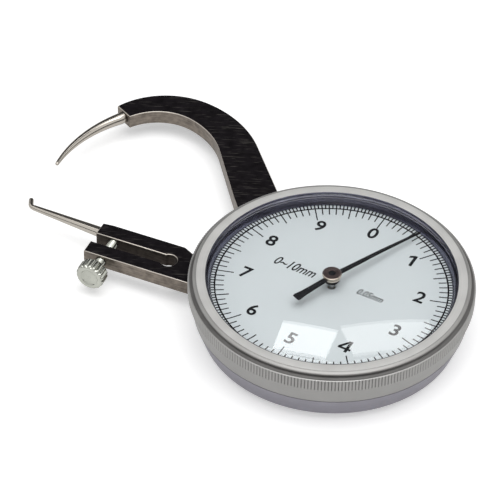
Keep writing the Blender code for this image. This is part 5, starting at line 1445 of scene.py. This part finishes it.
# Outline and openings of the two figures that the built-in letters draw too thin or blotted,
# in a box of height 1.
FIGURE_OUTLINES: dict[str, tuple[list[tuple[float, float]], list[list[tuple[float, float]]]]] = {
    "1": ([(0.27, 0), (0.47, 0), (0.47, 1), (0.31, 1), (0, 0.84), (0, 0.66), (0.27, 0.78)], []),
    "4": ([(0.50, 0), (0.69, 0), (0.69, 0.20), (0.84, 0.20), (0.84, 0.36), (0.69, 0.36), (0.69, 1),
           (0.47, 1), (0, 0.37), (0, 0.20), (0.50, 0.20)], [[(0.50, 0.36), (0.50, 0.76), (0.20, 0.36)]]),
}


@dataclass
class DialPrint:
    """The dial's printed scale, figures and plain marks, as thin ink on the enamel."""

    up: float = radians(64.17)          # direction of the figure 0 from the dial's axis
    circle_radius: float = 21.0 * MM
    circle_width: float = 0.30 * MM
    outer_stroke: float = 0.26 * MM
    inner_stroke: float = 0.23 * MM
    ink: float = 0.02 * MM
    outer_end: float = 22.25 * MM
    tenth_end: float = 19.35 * MM
    half_end: float = 18.55 * MM
    whole_end: float = 17.85 * MM
    figure_reach: float = 15.87 * MM
    figure_lift: float = 0.5 * MM
    figure_height: float = 2.9 * MM
    figure_bold: float = 0.02
    mark_up: float = 1.35 * MM
    mark_bold: float = 0.012
    mark_slope: float = 0.3
    marks: tuple[tuple[str, float, float, float], ...] = (      # text, height, width, place to the right
        ("0~10mm", 2.2 * MM, 8.2 * MM, -8.0 * MM),
        ("0.05mm", 1.5 * MM, 5.1 * MM, 7.2 * MM),
    )

    def ticks(self, bottom: float) -> bpy.types.Mesh:
        """Make the 300 strokes of the scale as thin bars.

        Stroke k of the outer row stands at up - k/200 of a turn, and stroke k of the inner row
        at up - k/100 of a turn. Each bar is eight corners: both ends and sides, low and high.

        Args:
            bottom: height of the enamel.

        Returns:
            The mesh of all strokes.
        """
        outer, inner = np.arange(200), np.arange(100)
        angle = self.up - np.concatenate([outer / 200, inner / 100]) * FULL_TURN
        ends = np.where(inner % 10 == 0, self.whole_end,
                        np.where(inner % 5 == 0, self.half_end, self.tenth_end))
        near = np.concatenate([np.full(200, self.circle_radius), ends])
        far = np.concatenate([np.full(200, self.outer_end), np.full(100, self.circle_radius)])
        half = np.concatenate([np.full(200, self.outer_stroke), np.full(100, self.inner_stroke)]) / 2
        along = np.stack([near, far, far, near, near, far, far, near], axis=1)
        aside = np.array([-1, -1, 1, 1, -1, -1, 1, 1]) * half[:, None]
        turn = angle[:, None]
        x = along * np.cos(turn) - aside * np.sin(turn)
        y = along * np.sin(turn) + aside * np.cos(turn)
        z = bottom + np.array([0, 0, 0, 0, 1, 1, 1, 1]) * self.ink + 0 * x
        box = np.array([(0, 3, 2, 1), (4, 5, 6, 7), (0, 1, 5, 4), (1, 2, 6, 5), (2, 3, 7, 6),
                        (3, 0, 4, 7)])
        faces = (np.arange(len(angle))[:, None, None] * 8 + box).reshape(-1, 4)
        return solid("strokes", np.stack([x, y, z], axis=-1), faces.tolist())

    def words(self, text: str, height: float, width: float, right: float, up: float,
              bottom: float, bold: float, shear: float = 0.0) -> bpy.types.Mesh:
        """Make printed characters, centred on a place in the dial's own frame.

        Args:
            text: the characters.
            height: their height.
            width: their width, or 0 to keep their own proportions.
            right: place to the right of the dial's axis.
            up: place towards the figure 0.
            bottom: height of the enamel.
            bold: how far each stroke grows, as a share of the letter size.
            shear: slope of slanted characters.

        Returns:
            The mesh, in its place.
        """
        if text in FIGURE_OUTLINES:
            outline, openings = FIGURE_OUTLINES[text]
            mesh = plate("figure", np.array(outline, float), [np.array(loop) for loop in openings],
                         -0.5, 0.5, 0)
        else:
            mesh = self.letters(text, bold, shear)
        points = np.zeros(len(mesh.vertices) * 3)
        mesh.vertices.foreach_get("co", points)
        points = points.reshape(-1, 3)
        low, high = points.min(axis=0), points.max(axis=0)
        tall = height / (high[1] - low[1])
        wide = width / (high[0] - low[0]) if width else tall
        turn = self.up - pi / 2
        place = (Matrix.Rotation(turn, 4, "Z") @ Matrix.Translation((right, up, bottom + self.ink / 2))
                 @ Matrix.Diagonal((wide, tall, self.ink, 1)) @ Matrix.Translation(-Vector((low + high) / 2)))
        mesh.transform(place)
        return mesh

    def letters(self, text: str, bold: float, shear: float) -> bpy.types.Mesh:
        """Return built-in letters of size 1 as a mesh that is 1 thick.

        Args:
            text: the characters.
            bold: how far each stroke grows.
            shear: slope of slanted characters.

        Returns:
            The mesh, centred on height 0.
        """
        curve = bpy.data.curves.new("print", "FONT")
        curve.body = text
        curve.size = 1.0
        curve.offset = bold
        curve.shear = shear
        curve.extrude = 0.5
        curve.resolution_u = 4
        curve.align_x = "CENTER"
        holder = bpy.data.objects.new("print", curve)
        bpy.context.scene.collection.objects.link(holder)
        graph = bpy.context.evaluated_depsgraph_get()
        mesh = bpy.data.meshes.new_from_object(holder.evaluated_get(graph))
        bpy.data.objects.remove(holder)
        return mesh

    def build(self, levels: Levels, shop: Workshop) -> None:
        """Build and dress the print.

        Args:
            levels: heights of the layers.
            shop: maker of the finishes.
        """
        low = levels.dial_top
        inner, outer = (self.circle_radius + side * self.circle_width / 2 for side in (-1, 1))
        circle = turned("circle", [(inner, low), (outer, low), (outer, low + self.ink),
                                   (inner, low + self.ink)], 360, closed=True)
        ink = [shop.finish("black ink")]
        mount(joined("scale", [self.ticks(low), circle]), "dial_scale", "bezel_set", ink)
        figures = []
        for number in range(10):
            turn = radians(36.0 * number)
            figures.append(self.words(str(number), self.figure_height, 0, self.figure_reach * sin(turn),
                                      self.figure_reach * cos(turn) + self.figure_lift, low,
                                      self.figure_bold))
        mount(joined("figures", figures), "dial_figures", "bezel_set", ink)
        marks = [self.words(text, height, width, right, self.mark_up, low, self.mark_bold, self.mark_slope)
                 for text, height, width, right in self.marks]
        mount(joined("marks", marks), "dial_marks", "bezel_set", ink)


@dataclass
class BezelGroup:
    """The turning ring with its knurl, the dial under it, the seat ring and the window."""

    bore: float = 24.3 * MM
    inner: float = 23.2 * MM
    lip_inner: float = 22.6 * MM
    ribs: int = 272
    steps_a_rib: int = 4
    rib_depth: float = 0.19 * MM
    skirt_drop: float = 0.2 * MM
    dial_radius: float = 22.9 * MM
    dial_hole: float = 0.75 * MM
    seat_inner: float = 21.75 * MM
    seat_slope: float = 0.5 * MM
    dome_radius: float = 22.0 * MM
    dome_rise: float = 2.0 * MM
    glass_thickness: float = 1.0 * MM

    def build_bezel(self, levels: Levels, shop: Workshop) -> None:
        """Build and dress the turned ring: lower skirt, knurl, groove, flat top and inner wall.

        Args:
            levels: heights of the layers.
            shop: maker of the finishes.
        """
        top, deep = levels.bezel_top, self.rib_depth
        bottom = levels.bezel_bottom - self.skirt_drop
        face, side, knurl, groove, wall, shoulder = range(6)
        lip = top - 0.4 * MM
        seat = levels.dial_bottom - 0.6 * MM
        # side, knurl and shoulder rows take darker copies of the face's finish: painted shade
        rows = [(24.3 * MM, bottom, 0, side), (25.05 * MM, bottom, 0, side),
                (25.25 * MM, bottom + 1.0 * MM, 0, side), (25.74 * MM, top - 3.75 * MM, 0, side),
                (25.92 * MM, top - 3.50 * MM, 0, side),
                (25.95 * MM, top - 3.42 * MM, deep, knurl), (25.95 * MM, top - 1.32 * MM, deep, knurl),
                (25.95 * MM, top - 1.22 * MM, 0.4 * deep, side), (25.74 * MM, top - 1.10 * MM, 0, side),
                # groove rows: painted shade in the groove under the top
                (25.55 * MM, top - 1.14 * MM, 0, groove),
                (24.75 * MM, top - 0.98 * MM, 0, groove), (24.95 * MM, top - 0.70 * MM, 0, groove),
                (25.15 * MM, top - 0.52 * MM, 0, groove), (25.02 * MM, top - 0.22 * MM, 0, shoulder),
                (24.6 * MM, top - 0.02 * MM, 0, shoulder), (24.3 * MM, top, 0, face),
                (22.68 * MM, top, 0, wall), (self.lip_inner, top - 0.08 * MM, 0, wall),
                (self.lip_inner, lip, 0, wall), (self.inner, lip, 0, wall), (self.inner, seat, 0, wall),
                (self.bore, seat, 0, wall)]
        profile = softened(rows, 0.12 * MM, 2, closed=True)
        ring = turned("bezel", profile, self.ribs * self.steps_a_rib, closed=True, ribs=self.ribs,
                      banded=True)
        names = ("bezel face", "shaded bezel side", "shaded bezel knurl", "shaded bezel groove", "bezel wall",
                 "shaded bezel shoulder")
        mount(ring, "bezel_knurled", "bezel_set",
              [shop.finish(name) for name in names], ["bezel"])

    def build_dial(self, levels: Levels, shop: Workshop) -> None:
        """Build and dress the dial disc and the ring on which the window sits.

        Args:
            levels: heights of the layers.
            shop: maker of the finishes.
        """
        low, high = levels.dial_bottom, levels.dial_top
        disc = [(self.dial_hole, low), (self.dial_radius, low), (self.dial_radius, high),
                (self.dial_hole, high)]
        mount(turned("dial", softened(disc, 0.05 * MM, 2, closed=True), 180, closed=True),
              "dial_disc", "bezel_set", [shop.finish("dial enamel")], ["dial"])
        low, high = levels.seat_bottom, levels.seat_top
        ring = [(self.seat_inner, low), (self.dial_radius, low), (self.dial_radius, high),
                (self.seat_inner + self.seat_slope, high), (self.seat_inner, low + 0.15 * MM)]
        mount(turned("seat ring", softened(ring, 0.05 * MM, 2, closed=True), 180, closed=True),
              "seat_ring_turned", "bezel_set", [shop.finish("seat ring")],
              ["crystal_seat_ring"])

    def build_window(self, levels: Levels) -> None:
        """Build the domed window: z rises as the cap of a ball whose rise is given at the middle.

        Args:
            levels: heights of the layers.
        """
        ball = (self.dome_radius ** 2 + self.dome_rise ** 2) / (2 * self.dome_rise)
        radius = np.linspace(0, self.dome_radius, 33)
        rise = np.sqrt(ball ** 2 - radius ** 2) - (ball - self.dome_rise)
        low = np.column_stack([radius, levels.crystal_bottom + rise])
        high = low + [0, self.glass_thickness]
        rim = np.array([(self.dial_radius, levels.crystal_bottom),
                        (self.dial_radius, levels.crystal_bottom + self.glass_thickness)])
        profile = np.vstack([low, rim, high[::-1]])
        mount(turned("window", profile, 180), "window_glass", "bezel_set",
              [Glass().material()], ["crystal"])

    def build(self, levels: Levels, shop: Workshop) -> None:
        """Build and dress the whole group.

        Args:
            levels: heights of the layers.
            shop: maker of the finishes.
        """
        self.build_bezel(levels, shop)
        self.build_dial(levels, shop)
        DialPrint().build(levels, shop)
        self.build_window(levels)


@dataclass
class Hand:
    """The pointer with its widened tail, the collar under it and the cap on its hub."""

    angle: float = radians(42.57)
    thickness: float = 0.3 * MM
    hub_radius: float = 1.66 * MM
    bore: float = 0.6 * MM
    collar_radius: float = 1.42 * MM
    cap_radius: float = 1.76 * MM
    dish_radius: float = 0.7 * MM
    dish_depth: float = 0.12 * MM
    reaches: tuple[float, ...] = (-8.5, -8.1, -6.6, -4.25, -1.6, 1.6, 11.5, 21.1, 21.5)
    halves: tuple[float, ...] = (0.72, 0.86, 0.66, 0.58, 0.52, 0.52, 0.35, 0.17, 0.08)

    def blade(self, levels: Levels) -> bpy.types.Mesh:
        """Skin six-sided sections along the hand, with bevelled upper edges.

        The underside follows straight lines between the heights of tail, hub, middle and tip.

        Args:
            levels: heights of the layers.

        Returns:
            The closed mesh, lying along +X.
        """
        hub = levels.cap_bottom - SEAT_GAP - self.thickness
        x = np.array(self.reaches) * MM
        half = np.array(self.halves) * MM
        low = np.interp(x, np.array([-8.5, 0, 11.5, 21.5]) * MM,
                        [levels.dial_top + 2.1 * MM, hub, levels.dial_top + 1.8 * MM,
                         levels.dial_top + 0.9 * MM])
        across = np.array([-1, 1, 1, 0.72, -0.72, -1])
        rise = np.array([0, 0, 0.55, 1, 1, 0.55]) * self.thickness
        points = np.stack([x[:, None] + 0 * across, half[:, None] * across, low[:, None] + rise], axis=-1)
        return solid("hand", points, capped_grid(len(x), len(across)))

    def build(self, levels: Levels, shop: Workshop) -> None:
        """Build and dress the hand, its collar and its cap.

        Args:
            levels: heights of the layers.
            shop: maker of the finishes.
        """
        low = levels.cap_bottom - SEAT_GAP - self.thickness * 1.5
        high = levels.cap_bottom - SEAT_GAP
        hub = turned("hub", softened([(0, low), (self.hub_radius - 0.06 * MM, low),
                                      (self.hub_radius, high - 0.2 * MM), (self.hub_radius, high),
                                      (0, high)], 0.06 * MM, 2), 64)
        hand = combined(self.blade(levels), [banded_as(hub, 1)], "UNION")
        hand = combined(hand, [pin(self.bore, low - CUT_OVERRUN, high + CUT_OVERRUN)])
        hand.transform(Matrix.Rotation(self.angle, 4, "Z"))
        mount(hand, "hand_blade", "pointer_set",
              [shop.finish("black lacquer"), shop.finish("hub rim")], ["pointer"])
        low, high = levels.collar_bottom, levels.collar_top
        collar = [(self.bore, low), (self.collar_radius, low), (self.collar_radius, high), (self.bore, high)]
        mount(turned("collar", softened(collar, 0.06 * MM, 2, closed=True), 64, closed=True),
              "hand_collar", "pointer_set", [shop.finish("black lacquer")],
              ["pointer_collar"])
        low, high = levels.cap_bottom, levels.cap_top
        top, rim, dish = range(3)
        cap = [(0, low, 0, rim), (self.cap_radius - 0.05 * MM, low, 0, rim),
               (self.cap_radius, low + 0.12 * MM, 0, rim), (self.cap_radius, high - 0.14 * MM, 0, rim),
               (self.cap_radius - 0.16 * MM, high, 0, top), (self.dish_radius, high, 0, top),
               (self.dish_radius - 0.05 * MM, high - self.dish_depth, 0, dish),
               (0, high - self.dish_depth, 0, dish)]
        mount(turned("cap", softened(cap, 0.05 * MM, 2), 72, banded=True), "hand_cap", "pointer_set",
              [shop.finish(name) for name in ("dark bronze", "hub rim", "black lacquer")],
              ["pointer_cap"])


@dataclass
class Movement:
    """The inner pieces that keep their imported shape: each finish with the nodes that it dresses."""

    dressed: dict[str, tuple[str, ...]] = field(default_factory=lambda: {
        "brass": ("sector_gear", "intermediate_wheel", "movement_plate", "pillar_1", "pillar_2",
                  "pillar_3", "centre_bush_lower", "centre_bush_upper", "intermediate_bush_lower",
                  "intermediate_bush_upper", "hairspring_collet", "hairspring_stud",
                  "dial_support_ring"),
        "screw steel": ("jaw_pivot_post", "jaw_pivot_screw", "jaw_stop_pin", "sector_screw_1",
                        "sector_screw_2", "spring_hook_pin", "intermediate_arbor", "centre_arbor",
                        "pillar_screw_1", "pillar_screw_2", "pillar_screw_3", "fixed_arm_screw_1",
                        "fixed_arm_screw_2"),
        "spring steel": ("jaw_return_spring", "hairspring", "bezel_retaining_spring"),
    })

    def dress(self, shop: Workshop) -> None:
        """Give each inner piece its finish.

        Args:
            shop: maker of the finishes.
        """
        for finish, nodes in self.dressed.items():
            shop.dress(finish, *nodes)


# Studio

@dataclass(frozen=True)
class SoftBox:
    """One rectangular lamp that looks at a point just above the dial."""

    name: str
    direction: tuple[float, float, float]
    distance: float
    width: float
    height: float
    radiance: float
    roll: float = 0.0

    def build(self) -> None:
        """Place the lamp. Its power is pi * radiance * area."""
        lamp = bpy.data.lights.new(self.name, "AREA")
        lamp.shape = "RECTANGLE"
        lamp.size, lamp.size_y = self.width, self.height
        lamp.energy = pi * self.radiance * self.width * self.height
        way = Vector(self.direction).normalized()
        item = bpy.data.objects.new(self.name, lamp)
        item.location = way * self.distance
        turn = way.to_track_quat("Z", "Y") @ Quaternion((0, 0, 1), radians(self.roll))
        item.rotation_euler = turn.to_euler()
        bpy.context.scene.collection.objects.link(item)


@dataclass
class Studio:
    """Camera, world, floor and lamps."""

    camera_place: tuple[float, float, float] = (0.0, -0.391971, 0.374868)
    camera_right: tuple[float, float, float] = (0.99843, 0.053334, 0.017092)
    camera_up: tuple[float, float, float] = (-0.048512, 0.67107, 0.739805)
    focal_pixels: float = 2968.986
    picture_pixels: float = 500.0
    sensor: float = 36.0
    diffuse_level: float = 0.55
    floor_size: float = 6.0
    floor_drop: float = 0.2 * MM
    floor_shades: tuple[Colour, Colour] = ((0.80, 0.80, 0.80), (0.82, 0.82, 0.82))
    floor_lift: float = 0.42            # glow that the camera and the glass see
    floor_lift_in_metal: float = 0.15
    card_shades: tuple[Colour, Colour] = ((0.17, 0.17, 0.175), (0.19, 0.19, 0.195))
    boxes: tuple[SoftBox, ...] = (
        SoftBox("left soft box", (-0.066, 0.485, 0.868), 1.0, 0.155, 0.12, 3.6, -22.0),
        SoftBox("right soft box", (0.165, 0.518, 0.835), 1.0, 0.25, 0.12, 2.1, 36.0),
        SoftBox("overhead fill", (0.05, -0.16, 0.99), 1.4, 1.4, 1.3, 2.4),
    )
    card_direction: tuple[float, float, float] = (0.0, 0.669, 0.743)
    card_distance: float = 1.5
    card_half_size: tuple[float, float] = (0.9, 0.92)
    skirting_radius: float = 1.6
    skirting: tuple[float, float] = (0.06, 0.46)

    def build_camera(self) -> None:
        """Set the camera by its place and its right and up directions."""
        camera = bpy.data.cameras.new("camera")
        camera.sensor_width = self.sensor
        camera.lens = self.focal_pixels * self.sensor / self.picture_pixels
        camera.clip_start = 0.01
        right = Vector(self.camera_right).normalized()
        up = Vector(self.camera_up)
        up = (up - right * up.dot(right)).normalized()
        back = right.cross(up)
        item = bpy.data.objects.new("camera", camera)
        turn = Matrix((right, up, back)).transposed().to_4x4()
        item.matrix_world = Matrix.Translation(self.camera_place) @ turn
        bpy.context.scene.collection.objects.link(item)
        bpy.context.scene.camera = item

    def build_world(self) -> None:
        """Show white to camera, mirror and glass rays, and light the rest at a plain level."""
        world = bpy.data.worlds.new("studio")
        bpy.context.scene.world = world
        world.use_nodes = True
        nodes, links = world.node_tree.nodes, world.node_tree.links
        path = nodes.new("ShaderNodeLightPath")
        seen = path.outputs["Is Camera Ray"]
        for name in ("Is Glossy Ray", "Is Transmission Ray"):
            either = nodes.new("ShaderNodeMath")
            either.operation = "MAXIMUM"
            links.new(seen, either.inputs[0])
            links.new(path.outputs[name], either.inputs[1])
            seen = either.outputs["Value"]
        level = nodes.new("ShaderNodeMapRange")
        level.inputs["To Min"].default_value = self.diffuse_level
        level.inputs["To Max"].default_value = 1.0
        links.new(seen, level.inputs["Value"])
        background = nodes["Background"]
        background.inputs["Color"].default_value = (1, 1, 1, 1)
        links.new(level.outputs["Result"], background.inputs["Strength"])

    def build_floor(self) -> None:
        """Lay a pale floor that keeps the gauge's soft shadow."""
        half = self.floor_size / 2
        mesh = bpy.data.meshes.new("floor")
        mesh.from_pydata([(-half, -half, -self.floor_drop), (half, -half, -self.floor_drop),
                          (half, half, -self.floor_drop), (-half, half, -self.floor_drop)], [],
                         [(0, 1, 2, 3)])
        board = Board("pale floor")
        board.set(Roughness=0.9, Specular_IOR_Level=0.0)
        board.paint(board.remap(board.noise(board.place(), 30), 0, 1), *self.floor_shades)
        path = board.nodes.new("ShaderNodeLightPath")
        lift = board.sum(board.remap(path.outputs["Is Camera Ray"], 0, self.floor_lift, 0, 1),
                         board.remap(path.outputs["Is Glossy Ray"], 0, self.floor_lift_in_metal, 0, 1),
                         board.remap(path.outputs["Is Transmission Ray"], 0, self.floor_lift, 0, 1))
        glow = board.nodes.new("ShaderNodeEmission")
        board.link(lift, glow.inputs["Strength"])
        add = board.nodes.new("ShaderNodeAddShader")
        board.link(board.shader.outputs["BSDF"], add.inputs[0])
        board.link(glow.outputs["Emission"], add.inputs[1])
        board.link(add.outputs["Shader"], board.nodes["Material Output"].inputs["Surface"])
        mesh.materials.append(board.material)
        floor = bpy.data.objects.new("floor", mesh)
        bpy.context.scene.collection.objects.link(floor)

    def build_cards(self) -> None:
        """Hang a dark card behind the soft boxes and a low one all round, for metal and glass to show.

        The low one is a cylinder's wall: radius * (cos a, sin a) at two heights.
        """
        wide, tall = self.card_half_size
        way = Vector(self.card_direction).normalized()
        turn = way.to_track_quat("Z", "Y").to_matrix().to_4x4()
        high = bpy.data.meshes.new("high card")
        high.from_pydata([(-wide, -tall, 0), (wide, -tall, 0), (wide, tall, 0), (-wide, tall, 0)], [],
                         [(3, 2, 1, 0)])
        high.transform(Matrix.Translation(way * self.card_distance) @ turn)
        ring = arc(self.skirting_radius, 0, FULL_TURN, 48)[:-1]
        points = np.vstack([np.column_stack([ring, np.full(48, height)]) for height in self.skirting])
        low = bpy.data.meshes.new("low card")
        low.from_pydata(points.tolist(), [], grid_faces(2, 48, False, True).tolist())
        board = Board("dark card")
        board.set(Roughness=0.9, Specular_IOR_Level=0.0)
        board.paint(board.remap(board.noise(board.place(), 20), 0, 1), *self.card_shades)
        for name, mesh in (("high_card", high), ("low_card", low)):
            mesh.materials.append(board.material)
            card = bpy.data.objects.new(name, mesh)
            bpy.context.scene.collection.objects.link(card)
            card.visible_camera = False

    def build(self) -> None:
        """Build the whole studio."""
        bpy.context.scene.view_settings.view_transform = "Standard"
        self.build_camera()
        self.build_world()
        self.build_floor()
        self.build_cards()
        for box in self.boxes:
            box.build()


def main() -> None:
    """Build the gauge's pieces in order, then the studio."""
    logging.basicConfig(level=logging.INFO, format="%(message)s")
    levels, shop = Levels(), Workshop()
    jaw, arm, case = MovingArm(), FixedArm(), Case()
    case.build_body(levels, jaw, arm, shop)
    case.build_cover(shop)
    arm.build(levels, jaw, shop)
    jaw.build(levels, shop)
    ThumbScrew().build(levels, jaw, shop)
    BezelGroup().build(levels, shop)
    Hand().build(levels, shop)
    Movement().dress(shop)
    Studio().build()


if __name__ == "__main__":
    main()
